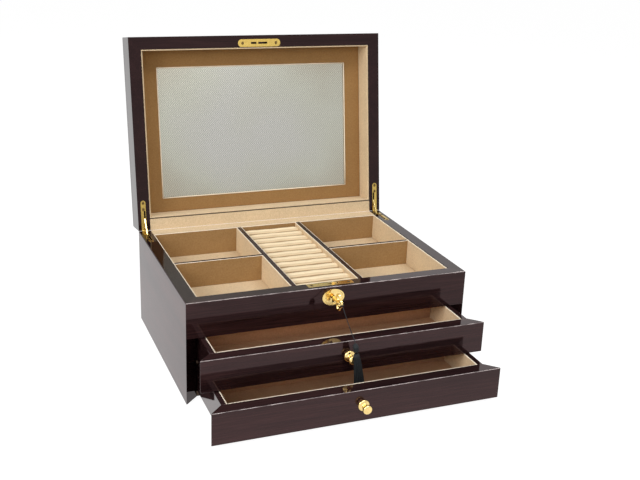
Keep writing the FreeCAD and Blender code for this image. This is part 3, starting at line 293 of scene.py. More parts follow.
def mirror_material(name):
    """Silvered glass that shows a pale twilled haze, in zigzag rows, cooler in the middle, with painted
    shade that makes it darker and warmer towards the edges.
    """
    mat = new_material(name, (0.45, 0.45, 0.4), 0.2, 1.0)
    vector = coordinates(mat, turn=(math.radians(LID_ANGLE), 0, 0))
    split = mat.node_tree.nodes.new("ShaderNodeSeparateXYZ")
    mat.node_tree.links.new(vector, split.inputs["Vector"])
    x, y = split.outputs["X"], split.outputs["Y"]
    row = calc(mat, "PINGPONG", y, TWILL_ROW)
    slant = calc(mat, "ADD", x, calc(mat, "MULTIPLY", row, TWILL_SLANT))
    wave = calc(mat, "SINE", calc(mat, "MULTIPLY", slant, 2 * math.pi / TWILL_PITCH))
    speckle = noise(mat, vector, 900.0, detail=3.0, roughness=0.6)
    coarse = calc(mat, "MULTIPLY", calc(mat, "SUBTRACT", speckle, 0.5), 0.22)
    thread = calc(mat, "ADD", calc(mat, "MULTIPLY", wave, 0.2), coarse)
    cloth = ramp(mat, calc(mat, "ADD", thread, 0.5), TWILL_TONES)
    aside = calc(mat, "POWER", calc(mat, "DIVIDE", x, MIRROR_HALF_WIDE), 2.0)
    lifted = calc(mat, "DIVIDE", calc(mat, "ADD", y, -MIRROR_MIDDLE_Y), MIRROR_HALF_HIGH)
    outward = calc(mat, "ADD", aside, calc(mat, "POWER", lifted, 2.0))
    cloud = noise(mat, vector, 9.0, detail=2.0)
    wander = calc(mat, "MULTIPLY", calc(mat, "SUBTRACT", cloud, 0.5), 1.4)
    tint = ramp(mat, calc(mat, "ADD", outward, wander), MIRROR_EDGE_SHADE)
    use_color(mat, multiplied(mat, cloth, tint))
    use_roughness(mat, speckle, 0.16, 0.3)
    return mat


def thread_material(name, color):
    """Spun thread with a cool sheen along its strands."""
    mat = new_material(
        name,
        color,
        0.6,
        Sheen_Weight=0.06,
        Sheen_Roughness=0.3,
        Sheen_Tint=(0.6, 0.75, 0.8, 1),
        Specular_IOR_Level=0.3,
    )
    strands = noise(mat, coordinates(mat, (1, 1, 0.06)), 2600.0, detail=3.0)
    low = tuple(c * 0.4 for c in color)
    high = tuple(c * 2.4 for c in color)
    use_color(mat, ramp(mat, strands, [(0.35, low), (0.68, high)]))
    use_bump(mat, strands, THREAD_BUMP, 0.6)
    return mat


def edge_material(name):
    """Painted highlight for lacquer along a rounded edge: a pale colour in broken lengths, where the gloss
    catches the light.
    """
    mat = new_material(name, (0.4, 0.33, 0.33), 0.25)
    broken = noise(mat, coordinates(mat, (1.0, 0.2, 0.2)), 70.0, detail=3.0)
    use_color(mat, ramp(mat, broken, [(0.38, (0.12, 0.09, 0.09)), (0.6, (0.5, 0.43, 0.42))]))
    return mat


def board_material(name):
    """Bare board, for the pieces that are hardly seen."""
    mat = new_material(name, (0.15, 0.095, 0.06), 0.75)
    speck = noise(mat, coordinates(mat), 700.0)
    use_color(mat, ramp(mat, speck, [(0.35, (0.1, 0.062, 0.04)), (0.65, (0.19, 0.125, 0.08))]))
    return mat


def felt_material(name):
    """Brown felt under the box."""
    mat = new_material(name, (0.05, 0.034, 0.03), 0.98, Sheen_Weight=0.5)
    fuzz = noise(mat, coordinates(mat), 1100.0, detail=5.0, roughness=0.75)
    use_color(mat, ramp(mat, fuzz, [(0.3, (0.03, 0.02, 0.018)), (0.7, (0.075, 0.05, 0.044))]))
    use_bump(mat, fuzz, FUZZ_BUMP, 0.7)
    return mat


LACQUER_X = lacquer("lacquer_across", 0)
LACQUER_Y = lacquer("lacquer_along", 1)
SATIN_X = lacquer("lacquer_satin_across", 0, gloss=1.3, depth=1.1, haze=0.22)
SATIN_Y = lacquer("lacquer_satin_along", 1, gloss=1.3, depth=1.1, haze=0.22)
# A darker copy of the lacquer for the lid and the side walls: painted shade.
LID_SHADE_X = lacquer("lacquer_lid_painted_shade_across", 0, gloss=1.36, depth=0.5)
LID_SHADE_Y = lacquer("lacquer_lid_painted_shade_along", 1, gloss=1.36, depth=0.5)
# A paler copy of the lacquer for the side walls' outer faces: painted light.
SIDE_LIGHT_Y = lacquer("lacquer_side_painted_light_along", 1, gloss=1.23, depth=2.7)
FASCIA_X = lacquer("lacquer_fascia_across", 0, gloss=1.38)
SUEDE = suede("suede_cream", (0.72, 0.565, 0.37))
# A darker, more saturated copy of the suede for faces that look to the front: painted shade.
SHADED_FRONT_SUEDE = suede("suede_painted_shade_front", (0.35, 0.212, 0.09))
# A darker, redder copy of the suede for the drawers' floors and dividers: painted shade.
SHADED_FLOOR_SUEDE = suede("suede_painted_shade_drawer_floor", (0.62, 0.355, 0.2))
# A darker copy of the suede for the lid panel: painted shade.
SHADED_PANEL_SUEDE = suede("suede_painted_shade_panel", (0.33, 0.188, 0.073))
# Lit and shaded copies of the roll suede: painted light on the tops, painted shade on the slopes and in the
# creases.
LIT_ROLL_SUEDE = fine_suede("suede_painted_light_roll", (0.93, 0.78, 0.54))
SHADED_SLOPE_SUEDE = fine_suede("suede_painted_shade_slope", (0.76, 0.6, 0.39))
SHADED_CREASE_SUEDE = fine_suede("suede_painted_shade_crease", (0.42, 0.29, 0.16))
# A paler copy of the suede for the top edges and turned edges: painted highlight.
HIGHLIGHT_EDGE_SUEDE = fine_suede("suede_painted_highlight_edge", (0.93, 0.83, 0.67))
BRASS = brass("brass_polished", 0.13, (0.88, 0.66, 0.27))
BRASS_PLATE = brass("brass_plate", 0.22, (0.56, 0.39, 0.105))
# Dark brass on the screw heads and the rings round them: painted shade of their recesses.
SHADED_SCREW_BRASS = brass("brass_painted_shade_screws", 0.4, (0.13, 0.08, 0.03))
BRASS_SATIN = brass("brass_worn", 0.24, (0.78, 0.58, 0.24))
MIRROR = mirror_material("mirror_hazed")
THREAD = thread_material("thread_black", (0.0055, 0.0072, 0.0085))
# Pale lacquer on the rounded top edges of the fronts: painted highlight.
PAINTED_EDGE_HIGHLIGHT = edge_material("lacquer_painted_edge_highlight")
BOARD = board_material("board_plain")
FELT = felt_material("felt_brown")

# ---------------------------------------------------------------- mesh helpers


def shade(obj, *materials):
    """Smooth faces, all of the first material; the others are there to be chosen."""
    obj.data.materials.clear()
    for mat in materials:
        obj.data.materials.append(mat)
    for face in obj.data.polygons:
        face.use_smooth = True


def repaint(node, mat):
    """Gives a CAD node another material."""
    node.data.materials.clear()
    node.data.materials.append(mat)


def top_of(obj):
    """The height of a piece's highest point."""
    return max(v.co.z for v in obj.data.vertices)


def finished(bm, name):
    """The mesh of a bmesh, which is freed."""
    mesh = bpy.data.meshes.new(name)
    bm.to_mesh(mesh)
    bm.free()
    return mesh


def link(name, data):
    """A new object in the scene."""
    obj = bpy.data.objects.new(name, data)
    bpy.context.scene.collection.objects.link(obj)
    return obj


def flatten_modifiers(obj):
    """Turns the modifiers into the mesh."""
    depsgraph = bpy.context.evaluated_depsgraph_get()
    mesh = bpy.data.meshes.new_from_object(obj.evaluated_get(depsgraph))
    obj.modifiers.clear()
    obj.data = mesh


def is_mitred(face):
    """Whether a face is the slanted end of a mitred board."""
    across, along = abs(face.normal.x), abs(face.normal.y)
    return abs(across - along) < 0.02 and across > 0.5


def on_hinge_line(vert):
    """Whether a point lies on the line that the lid turns about."""
    return abs(vert.co.y - HINGE_Y) < NEAR_HINGE and abs(vert.co.z - HINGE_Z) < NEAR_HINGE


def is_sharp(edge, angle):
    """Whether the two faces at an edge meet at more than an angle, in degrees."""
    return len(edge.link_faces) == 2 and edge.calc_face_angle(0) > math.radians(angle)


def bevelled(obj, width, segments, angle, mitres=False):
    """Rounds the sharp edges; mitres leaves those of mitred ends and of the hinge line."""
    bm = bmesh.new()
    bm.from_mesh(obj.data)
    layers = bm.edges.layers.float
    weight = layers.get("bevel_weight_edge") or layers.new("bevel_weight_edge")
    for edge in bm.edges:
        left = mitres and (any(map(is_mitred, edge.link_faces)) or all(map(on_hinge_line, edge.verts)))
        edge[weight] = 1.0 if is_sharp(edge, angle) and not left else 0.0
    bm.to_mesh(obj.data)
    bm.free()
    bevel = obj.modifiers.new("edges", "BEVEL")
    bevel.width = width
    bevel.segments = segments
    bevel.limit_method = "WEIGHT"
    bevel.use_clamp_overlap = True


def merged(obj):
    """Joins doubled points and the triangles of flat faces."""
    bm = bmesh.new()
    bm.from_mesh(obj.data)
    bmesh.ops.remove_doubles(bm, verts=bm.verts, dist=0.001 * MM)
    bmesh.ops.dissolve_limit(bm, angle_limit=math.radians(0.5), verts=bm.verts, edges=bm.edges)
    bm.to_mesh(obj.data)
    bm.free()


def smart_normals(obj, angle=40):
    """Keeps flat faces flat beside the rounded edges."""
    weighted = obj.modifiers.new("normals", "WEIGHTED_NORMAL")
    weighted.weight = 60
    weighted.keep_sharp = True
    bm = bmesh.new()
    bm.from_mesh(obj.data)
    for edge in bm.edges:
        if is_sharp(edge, angle):
            edge.smooth = False
    bm.to_mesh(obj.data)
    bm.free()


def dressed(node, mat, width, segments, angle=30, mitres=False):
    """A piece with the node's outline, its edges rounded, standing for the node."""
    obj = link(f"{node}_dressed", NODES[node].data.copy())
    merged(obj)
    bevelled(obj, width, segments, angle, mitres)
    flatten_modifiers(obj)
    shade(obj, mat)
    smart_normals(obj)
    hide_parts(node)
    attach(obj, BODY_OF[node])
    return obj


def bridge(bm, one, two):
    """A band of faces between two closed rings of points."""
    count = len(one)
    for k in range(count):
        n = (k + 1) % count
        bm.faces.new((one[k], one[n], two[n], two[k]))


def travelling_frames(path):
    """Each point of a path with two directions square to it, which don't twist along it."""
    across = None
    for i, point in enumerate(path):
        ahead = (path[min(i + 1, len(path) - 1)] - path[max(i - 1, 0)]).normalized()
        if across is None:
            across = ahead.orthogonal().normalized()
        across = (across - ahead * across.dot(ahead)).normalized()
        yield point, across, ahead.cross(across)


def tube_mesh(name, path, radius, sides):
    """A closed round tube along points."""
    bm = bmesh.new()
    rings = []
    for point, across, other in travelling_frames(path):
        ring = []
        for k in range(sides):
            a = 2 * math.pi * k / sides
            ring.append(bm.verts.new(point + (across * math.cos(a) + other * math.sin(a)) * radius))
        rings.append(ring)
    for one, two in zip(rings, rings[1:]):
        bridge(bm, one, two)
    bm.faces.new(list(reversed(rings[0])))
    bm.faces.new(rings[-1])
    return finished(bm, name)


def joined(name, meshes):
    """One mesh from several."""
    bm = bmesh.new()
    for mesh in meshes:
        bm.from_mesh(mesh)
    return finished(bm, name)


def lathe(name, profile, place, steps=64):
    """Turns a profile of (radius, height) pairs in mm about local Z, then places it."""
    bm = bmesh.new()
    rings = []
    for radius, height in profile:
        if radius == 0:
            rings.append([bm.verts.new((0, 0, height * MM))])
            continue
        ring = []
        for k in range(steps):
            a = 2 * math.pi * k / steps
            ring.append(bm.verts.new((radius * MM * math.cos(a), radius * MM * math.sin(a), height * MM)))
        rings.append(ring)
    for one, two in zip(rings, rings[1:]):
        if len(one) == len(two):
            bridge(bm, one, two)
            continue
        for k in range(steps):
            n = (k + 1) % steps
            bm.faces.new((one[0], two[n], two[k]) if len(one) == 1 else (one[k], one[n], two[0]))
    bmesh.ops.recalc_face_normals(bm, faces=bm.faces)
    mesh = finished(bm, name)
    mesh.transform(place)
    return mesh


def softened_profile(points, passes=2):
    """Cuts the corners of a profile, keeping its ends."""
    for _ in range(passes):
        out = [points[0]]
        for a, b in zip(points, points[1:]):
            out.append((a[0] * 0.75 + b[0] * 0.25, a[1] * 0.75 + b[1] * 0.25))
            out.append((a[0] * 0.25 + b[0] * 0.75, a[1] * 0.25 + b[1] * 0.75))
        out.append(points[-1])
        points = out
    return points


# ---------------------------------------------------------------- lacquered boards

BOARDS_ALONG_Y = (
    "side_wall_left",
    "side_wall_right",
    "lid_side_left",
    "lid_side_right",
    "long_divider_left",
    "long_divider_right",
    "upper_drawer_sides",
    "lower_drawer_sides",
)
BOARDS_ACROSS_X = (
    "front_fascia",
    "back_wall",
    "cross_divider_left",
    "cross_divider_right",
    "lid_front_rail",
    "lid_back_rail",
    "lid_top",
    "upper_drawer_front",
    "upper_drawer_back",
    "lower_drawer_front",
    "lower_drawer_back",
)
LIT_BOARDS = ("front_fascia", "upper_drawer_front", "lower_drawer_front")
PLAIN_BOARDS = ("bottom_board", "dust_board", "tray_floor", "upper_drawer_bottom", "lower_drawer_bottom")
BOARD_ROUNDING = 0.45 * MM
LIT_DEPTH = 0.5 * MM


def lit_edges(obj):
    """Paints a highlight on the rounded edges along the top, where the gloss catches the light."""
    obj.data.materials.append(PAINTED_EDGE_HIGHLIGHT)
    top = top_of(obj)
    for face in obj.data.polygons:
        slanted = 0.12 < face.normal.z < 0.985 and abs(face.normal.y) > 0.12
        if slanted and face.center.z > top - LIT_DEPTH:
            face.material_index = 1


def outer_side_light(obj, outward):
    """The big outer face of a side wall, in a paler copy of the lacquer that is painted light."""
    obj.data.materials.append(SIDE_LIGHT_Y)
    for face in obj.data.polygons:
        if face.normal.x * outward > 0.7:
            face.material_index = 1


def board_finish(name, plain, lid, satin):
    """The lacquer of a board, out of those with its grain's direction."""
    if name == "front_fascia":
        return FASCIA_X
    # The lid and the side walls take the darker copy of the lacquer, which is painted shade.
    if BODY_OF[name] == "lid" or name.startswith("side_wall"):
        return lid
    return satin if "divider" in name else plain


for names, finishes in (
    (BOARDS_ALONG_Y, (LACQUER_Y, LID_SHADE_Y, SATIN_Y)),
    (BOARDS_ACROSS_X, (LACQUER_X, LID_SHADE_X, SATIN_X)),
):
    for name in names:
        finish = board_finish(name, *finishes)
        piece = dressed(name, finish, BOARD_ROUNDING, 3, angle=50, mitres=True)
        if name in LIT_BOARDS:
            lit_edges(piece)
        if name.startswith("side_wall"):
            outer_side_light(piece, -1 if name.endswith("left") else 1)
for name in PLAIN_BOARDS:
    repaint(NODES[name], BOARD)

# ---------------------------------------------------------------- suede linings

LINING_THICK = 1.1 * MM
RIM_DEPTH = 1.0 * MM


def paint_light_and_shade(obj, deep, rim, floor):
    """Painted shade: deeper colour on the faces that look to the front, and on drawer floors; painted
    highlight: paler on the turned top edge.
    """
    for mat in (SHADED_FRONT_SUEDE, HIGHLIGHT_EDGE_SUEDE, SHADED_FLOOR_SUEDE):
        obj.data.materials.append(mat)
    top = top_of(obj)
    for face in obj.data.polygons:
        if deep and face.normal.y < -0.8:
            face.material_index = 1
        if floor and face.normal.z > 0.8:
            face.material_index = 3
        if rim and face.normal.z > 0.3 and face.center.z > top - RIM_DEPTH:
            face.material_index = 2


# napped marks the linings that get painted shade on their front faces and a painted highlight on their top
# edge; drawer linings also get painted shade on their floors.
for name, rounding, napped in (
    ("tray_wall_lining", 0.6 * MM, True),
    ("divider_linings", 0.5 * MM, True),
    ("back_rim_suede", 0.35 * MM, False),
    ("lid_wall_lining", 0.6 * MM, False),
    ("lid_rim_suede", 0.35 * MM, False),
    ("lid_panel", 0.9 * MM, False),
    ("upper_drawer_lining", 0.6 * MM, True),
    ("lower_drawer_lining", 0.6 * MM, True),
    ("tray_floor_pads", 1.1 * MM, False),
):
    # The lid panel gets the darker copy of the suede, which is painted shade.
    cloth = SHADED_PANEL_SUEDE if name == "lid_panel" else SUEDE
    piece = dressed(name, cloth, rounding, 4, mitres="rim_suede" in name)
    if napped:
        paint_light_and_shade(piece, deep=True, rim=True, floor="drawer" in name)

# ---------------------------------------------------------------- turned suede edges

DRAWER_EDGE_RADIUS = 0.38 * MM
DRAWER_EDGE_INSET = 2 * MM
DRAWER_EDGE_BELOW_TOP = 0.12 * MM
MIRROR_EDGE_RADIUS = 0.65 * MM
MIRROR_EDGE_BESIDE = 0.5 * MM
MIRROR_EDGE_BELOW = 1.05 * MM


def bead(name, lines, radius, body):
    """Turned suede edges: thin closed rolls along straight lines, in pale suede that is a painted highlight.
    """
    meshes = []
    for index, (start, end) in enumerate(lines):
        path = [start.lerp(end, t / 6) for t in range(7)]
        meshes.append(tube_mesh(f"{name}_{index}", path, radius, 8))
    obj = link(name, joined(name, meshes))
    shade(obj, HIGHLIGHT_EDGE_SUEDE)
    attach(obj, body)


def drawer_edge(which):
    """The lining's edge behind the top of a drawer's front, in pale suede that is a painted highlight."""
    low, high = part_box(f"{which}_drawer_lining")
    front_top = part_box(f"{which}_drawer_front")[1][2]
    y, z = low[1] + LINING_THICK / 2, front_top - DRAWER_EDGE_BELOW_TOP
    start = Vector((low[0] + DRAWER_EDGE_INSET, y, z))
    end = Vector((high[0] - DRAWER_EDGE_INSET, y, z))
    bead(f"{which}_drawer_turned_edge", [(start, end)], DRAWER_EDGE_RADIUS, f"{which}_drawer")


def mirror_edge():
    """The panel's edge round the mirror, in pale suede that is a painted highlight."""
    closed = [LID_TURN.inverted() @ v.co for v in NODES["mirror"].data.vertices]
    side = max(v.x for v in closed) + MIRROR_EDGE_BESIDE
    back = max(v.y for v in closed) + MIRROR_EDGE_BESIDE
    front = min(v.y for v in closed) - MIRROR_EDGE_BESIDE
    level = min(v.z for v in closed) - MIRROR_EDGE_BELOW
    spots = ((-side, front), (side, front), (side, back), (-side, back))
    corners = [LID_TURN @ Vector((x, y, level)) for x, y in spots]
    lines = [(corners[i - 1], corners[i]) for i in range(4)]
    bead("mirror_turned_edge", lines, MIRROR_EDGE_RADIUS, "lid")


# ---------------------------------------------------------------- drawer dividers

DIVIDER_BEHIND_FRONT = 63.5 * MM
DIVIDER_THICK = 3.2 * MM
DIVIDER_BELOW_RIM = 2.5 * MM
DIVIDER_ROUNDING = 0.8 * MM


def drawer_divider(which):
    """A suede-covered board across a drawer, parallel to its front and let into the lining."""
    low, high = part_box(f"{which}_drawer_lining")
    sunk = LINING_THICK / 2
    start = low[1] + LINING_THICK + DIVIDER_BEHIND_FRONT
    corner = Vector((low[0] + sunk, start, low[2] + sunk))
    far = Vector((high[0] - sunk, start + DIVIDER_THICK, high[2] - DIVIDER_BELOW_RIM))
    bm = bmesh.new()
    bmesh.ops.create_cube(bm, size=1.0)
    for vert in bm.verts:
        share = vert.co + Vector((0.5, 0.5, 0.5))
        vert.co = Vector(a + (b - a) * t for a, b, t in zip(corner, far, share))
    top = [edge for edge in bm.edges if all(v.co.z > far.z - MM for v in edge.verts)]
    bmesh.ops.bevel(bm, geom=top, offset=DIVIDER_ROUNDING, segments=3, profile=0.5, affect="EDGES")
    divider = link(f"{which}_drawer_divider", finished(bm, f"{which}_drawer_divider"))
    # The divider takes the darker, redder drawer-floor suede, which is painted shade.
    shade(divider, SHADED_FLOOR_SUEDE)
    paint_light_and_shade(divider, deep=False, rim=True, floor=False)
    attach(divider, f"{which}_drawer")


for which in DRAWERS:
    drawer_edge(which)
for which in DRAWERS:
    drawer_divider(which)
mirror_edge()

# ---------------------------------------------------------------- ring rolls

random.seed(7)
ROLLS = 12
ROLL_SLICES = 41
ROLL_ARC_STEPS = 16
ROLL_GAP = 0.3 * MM
ROLL_PRESS = 0.02 * MM
ROLL_LEAN = 0.25 * MM
ROLL_SWELL = 0.14 * MM
ROLL_RIPPLE = 0.08 * MM
ROLL_CROWN = 1.02
ROLL_FOOT = 0.98
ROLL_PINCH = 0.16
ROLL_PINCH_REACH = 1.6 * MM
ROLL_END = 0.2 * MM
ROLL_END_SHARE = 0.97
# How steep a roll's face must be to get painted shade: darkest in the creases, darker on the slopes that
# look to the front.
CREASE_SHADE_TILT = 0.72
SLOPE_SHADE_TILT = 0.42


def roll_mesh(index, low, high):
    """One stuffed roll: arched on top, pinched at its ends and a little uneven."""
    pitch = (high[1] - low[1] + ROLL_GAP) / ROLLS
    centre = low[1] + pitch * (index + 0.5) - ROLL_GAP / 2
    half = pitch / 2 + ROLL_PRESS
    length = high[0] - low[0]
    lean = random.uniform(-ROLL_LEAN, ROLL_LEAN)
    bm = bmesh.new()
    rings = []
    for s in range(ROLL_SLICES):
        t = s / (ROLL_SLICES - 1)
        x = low[0] + length * t
        from_end = min(t, 1 - t) * length
        pinch = 1 - ROLL_PINCH * math.exp(-from_end / ROLL_PINCH_REACH)
        swell = ROLL_SWELL * math.sin(t * 9 + index * 1.7) + ROLL_RIPPLE * math.sin(t * 23 + index)
        spring = high[2] + swell - half * ROLL_CROWN
        reach = half * (1 if from_end > ROLL_END else ROLL_END_SHARE)
        ring = []
        for k in range(ROLL_ARC_STEPS + 1):
            a = math.pi * k / ROLL_ARC_STEPS
            y = centre + lean * math.sin(a) + reach * math.cos(a)
            z = spring + half * ROLL_CROWN * math.sin(a) * pinch
            ring.append(bm.verts.new((x, y, z)))
        for side in (-1, 1):
            ring.append(bm.verts.new((x, centre + side * half * ROLL_FOOT, low[2])))
        rings.append(ring)
    for one, two in zip(rings, rings[1:]):
        bridge(bm, one, two)
    bm.faces.new(rings[0])
    bm.faces.new(list(reversed(rings[-1])))
    bmesh.ops.recalc_face_normals(bm, faces=bm.faces)
    return finished(bm, f"roll_{index}")


low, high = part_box("ring_rolls")
meshes = [roll_mesh(index, low, high) for index in range(ROLLS)]
rolls = link("ring_rolls_soft", joined("ring_rolls_soft", meshes))
shade(rolls, LIT_ROLL_SUEDE, SHADED_SLOPE_SUEDE, SHADED_CREASE_SUEDE)
# Painted light and shade on the rolls: lighter tops, darker front slopes, darkest creases.
for face in rolls.data.polygons:
    if abs(face.normal.x) >= 0.5:
        continue
    if abs(face.normal.y) > CREASE_SHADE_TILT:
        face.material_index = 2
    elif face.normal.y < -SLOPE_SHADE_TILT:
        face.material_index = 1
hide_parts("ring_rolls")
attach(rolls, "carcass")

dressed("base_felt", FELT, 0.3 * MM, 2)

# ---------------------------------------------------------------- mirror and brass

repaint(NODES["mirror"], MIRROR)

for name, rounding, mat in (
    ("hinge_leaf_body_left", 0.22 * MM, BRASS_PLATE),
    ("hinge_leaf_body_right", 0.22 * MM, BRASS_PLATE),
    ("hinge_leaf_lid_left", 0.22 * MM, BRASS_PLATE),
    ("hinge_leaf_lid_right", 0.22 * MM, BRASS_PLATE),
    ("stay_arms", 0.25 * MM, BRASS),
    ("lock_case", 0.2 * MM, BRASS),
    ("strike_plate", 0.18 * MM, BRASS_PLATE),
    ("escutcheon", 0.22 * MM, BRASS),
    ("hook_bolt", 0.2 * MM, BRASS_SATIN),
    ("key", 0.3 * MM, BRASS),
):
    dressed(name, mat, rounding, 2, angle=35)

SCREW_ROUNDING = 0.12 * MM
for name, mat in (
    ("hinge_pins", BRASS_SATIN),
    ("hinge_screws_body", SHADED_SCREW_BRASS),
    ("hinge_screws_lid", SHADED_SCREW_BRASS),
    ("lock_screws", SHADED_SCREW_BRASS),
    ("strike_screws", SHADED_SCREW_BRASS),
    ("escutcheon_pins", BRASS_SATIN),
):
    repaint(NODES[name], mat)
    bevelled(NODES[name], SCREW_ROUNDING, 2, angle=35)

# The ring round a screw's head, as (radius, height over the head's face) in mm; it is dark brass, painted
# shade of the recess.
COUNTERSINK = [(1.12, -0.03), (1.45, 0.02), (1.47, 0.0), (1.4, -0.2), (1.12, -0.2), (1.12, -0.03)]


def islands(mesh):
    """The points of each loose part of a mesh, in the order of the parts' first points."""
    bm = bmesh.new()
    bm.from_mesh(mesh)
    seen = set()
    groups = []
    for first in bm.verts:
        if first in seen:
            continue
        seen.add(first)
        stack = [first]
        group = []
        while stack:
            vert = stack.pop()
            group.append(vert.co.copy())
            for edge in vert.link_edges:
                other = edge.other_vert(vert)
                if other not in seen:
                    seen.add(other)
                    stack.append(other)
        groups.append(group)
    bm.free()
    return groups


def countersinks(screws, turn, way):
    """A ring of painted shade round each head; turn takes the closed pose to rest, way is 1 for heads that
    look up.
    """
    meshes = []
    for index, group in enumerate(islands(NODES[screws].data)):
        points = [turn.inverted() @ p for p in group]
        x = (min(p.x for p in points) + max(p.x for p in points)) / 2
        y = (min(p.y for p in points) + max(p.y for p in points)) / 2
        face = max(way * p.z for p in points)
        place = turn @ Matrix.Translation((x, y, way * face)) @ Matrix.Scale(way, 4, (0, 0, 1))
        meshes.append(lathe(f"{screws}_{index}", COUNTERSINK, place, 24))
    sinks = link(f"{screws}_countersinks", joined(f"{screws}_countersinks", meshes))
    shade(sinks, SHADED_SCREW_BRASS)
    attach(sinks, BODY_OF[screws])


countersinks("hinge_screws_body", UPRIGHT, 1)
countersinks("lock_screws", UPRIGHT, 1)
countersinks("hinge_screws_lid", LID_TURN, -1)
countersinks("strike_screws", LID_TURN, -1)

# ---------------------------------------------------------------- drawer knobs

# Profiles as (radius, depth) in mm: depth is 0 at the drawer's front and grows into the wood.
KNOB_STUD = [(0, 9.0), (1.5, 9.0), (1.5, 0.0)]
KNOB_HEAD = [
    (5.75, 0.0),
    (5.8, -0.7),
    (5.3, -1.5),
    (3.6, -2.1),
    (2.7, -2.6),
    (2.45, -3.8),
    (2.6, -5.6),
    (3.3, -6.6),
    (4.3, -7.3),
    (4.6, -8.1),
    (4.6, -9.5),
    (4.1, -10.4),
    (2.6, -10.9),
    (1.6, -10.95),
    (1.4, -10.6),
    (0, -10.5),
]
KNOB_STANDS_OUT = 11 * MM
for which in DRAWERS:
    low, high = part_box(f"{which}_drawer_knob")
    spot = Matrix.Translation((0, low[1] + KNOB_STANDS_OUT, (low[2] + high[2]) / 2))
    place = spot @ Matrix.Rotation(math.radians(-90), 4, "X")
    profile = KNOB_STUD + softened_profile(KNOB_HEAD)
    knob = link(f"{which}_drawer_knob_turned", lathe(f"{which}_knob", profile, place))
    shade(knob, BRASS)
    smart_normals(knob, 35)
    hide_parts(f"{which}_drawer_knob")
    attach(knob, f"{which}_drawer")

# ---------------------------------------------------------------- cord

CORD_START = Vector((0, -132.75, 95.8)) * MM
HEAD_FOOT = Vector((1.2, -167.9, 62.2)) * MM
HEAD_LENGTH = 9.4 * MM
TILT = math.radians(28.5)
HEAD_UP = Vector((0, math.sin(TILT), math.cos(TILT)))
CORD_END = HEAD_FOOT + HEAD_UP * HEAD_LENGTH
CORD_OVER = CORD_END + HEAD_UP * 2.5 * MM
CORD_SAG = 1.35 * MM
ROUTE = [CORD_START]
for share in (0.1, 0.28, 0.52, 0.74, 0.9):
    sag = Vector((0, 0, 4 * share * (1 - share) * CORD_SAG))
    ROUTE.append(CORD_START.lerp(CORD_OVER, share) - sag)
ROUTE += [CORD_OVER, CORD_END]
STRANDS = 3
STRAND_RADIUS = 0.25 * MM
STRAND_OFF_CENTRE = 0.2 * MM
TWIST_PITCH = 2.6 * MM


def spline_path(points):
    """Points along a smooth curve with the given ones as its control points."""
    curve = bpy.data.curves.new("cord_line", "CURVE")
    curve.dimensions = "3D"
    line = curve.splines.new("NURBS")
    line.points.add(len(points) - 1)
    for point, spot in zip(line.points, points):
        point.co = (*spot, 1)
    line.order_u = 3
    line.use_endpoint_u = True
    line.resolution_u = 10
    obj = link("cord_line", curve)
    mesh = bpy.data.meshes.new_from_object(obj.evaluated_get(bpy.context.evaluated_depsgraph_get()))
    bpy.data.objects.remove(obj)
    return [v.co.copy() for v in mesh.vertices]


def strand_mesh(path, strand):
    """One of the strands that are twisted into the cord."""
    twisted = []
    travelled = 0.0
    last = path[0]
    for point, across, other in travelling_frames(path):
        travelled += (point - last).length
        last = point
        a = 2 * math.pi * (strand / STRANDS + travelled / TWIST_PITCH)
        twisted.append(point + (across * math.cos(a) + other * math.sin(a)) * STRAND_OFF_CENTRE)
    return tube_mesh(f"strand_{strand}", twisted, STRAND_RADIUS, 7)


path = spline_path(ROUTE)
meshes = [strand_mesh(path, strand) for strand in range(STRANDS)]
cord = link("tassel_cord_twisted", joined("tassel_cord_twisted", meshes))
shade(cord, THREAD)
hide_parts("tassel_cord")

# ---------------------------------------------------------------- tassel's head

# Profiles as (radius, height over the head's foot) in mm, with the wound thread between them.
HEAD_COLLAR = [(0.0, 0.05), (1.55, 0.05), (1.6, 0.5), (2.0, 0.95), (2.45, 1.2)]
HEAD_CROWN = [
    (2.5, 3.8),
    (2.75, 4.2),
    (2.87, 5.0),
    (2.85, 6.0),
    (2.65, 7.0),
    (2.25, 7.9),
    (1.7, 8.6),
    (1.1, 9.1),
    (0.75, 9.35),
    (0, 9.35),
]
WINDS = 6
WIND_STEPS = 6
WIND_RADIUS = 2.5
WIND_SWELL = 0.13
WIND_FOOT = 1.25
WIND_HEIGHT = 2.4

winding = []
for k in range(WINDS * WIND_STEPS + 1):
    swell = WIND_SWELL * math.cos(2 * math.pi * k / WIND_STEPS + math.pi)
    winding.append((WIND_RADIUS + swell, WIND_FOOT + WIND_HEIGHT * k / (WINDS * WIND_STEPS)))
place = Matrix.Translation(HEAD_FOOT) @ Matrix.Rotation(-TILT, 4, "X")
mesh = lathe("tassel_head_wound", HEAD_COLLAR + winding + HEAD_CROWN, place, 40)
head = link("tassel_head_wound", mesh)
shade(head, THREAD)
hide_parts("tassel_head")
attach(head, "upper_drawer")

# ---------------------------------------------------------------- tassel's skirt

SKIRT_TOP = HEAD_FOOT - Vector((0, 0, 0.9)) * MM
SKIRT_END = SKIRT_TOP + Vector((4.7, -1.2, -39.3)) * MM
THREADS = 130
THREAD_RADIUS = 0.3 * MM
THREAD_STEPS = 8
THREAD_SHORTER = 1.3 * MM
THREAD_WAVE = 0.16 * MM
THREAD_RIPPLE = 0.08 * MM
SKIRT_BOW = 0.3 * MM
SKIRT_HALF_WIDE = 2.45 * MM
SKIRT_WIDENS = 3.75 * MM
SKIRT_HALF_THICK = 1.4 * MM
SKIRT_THICKENS = 0.45 * MM
GOLDEN_SHARE = 0.618034


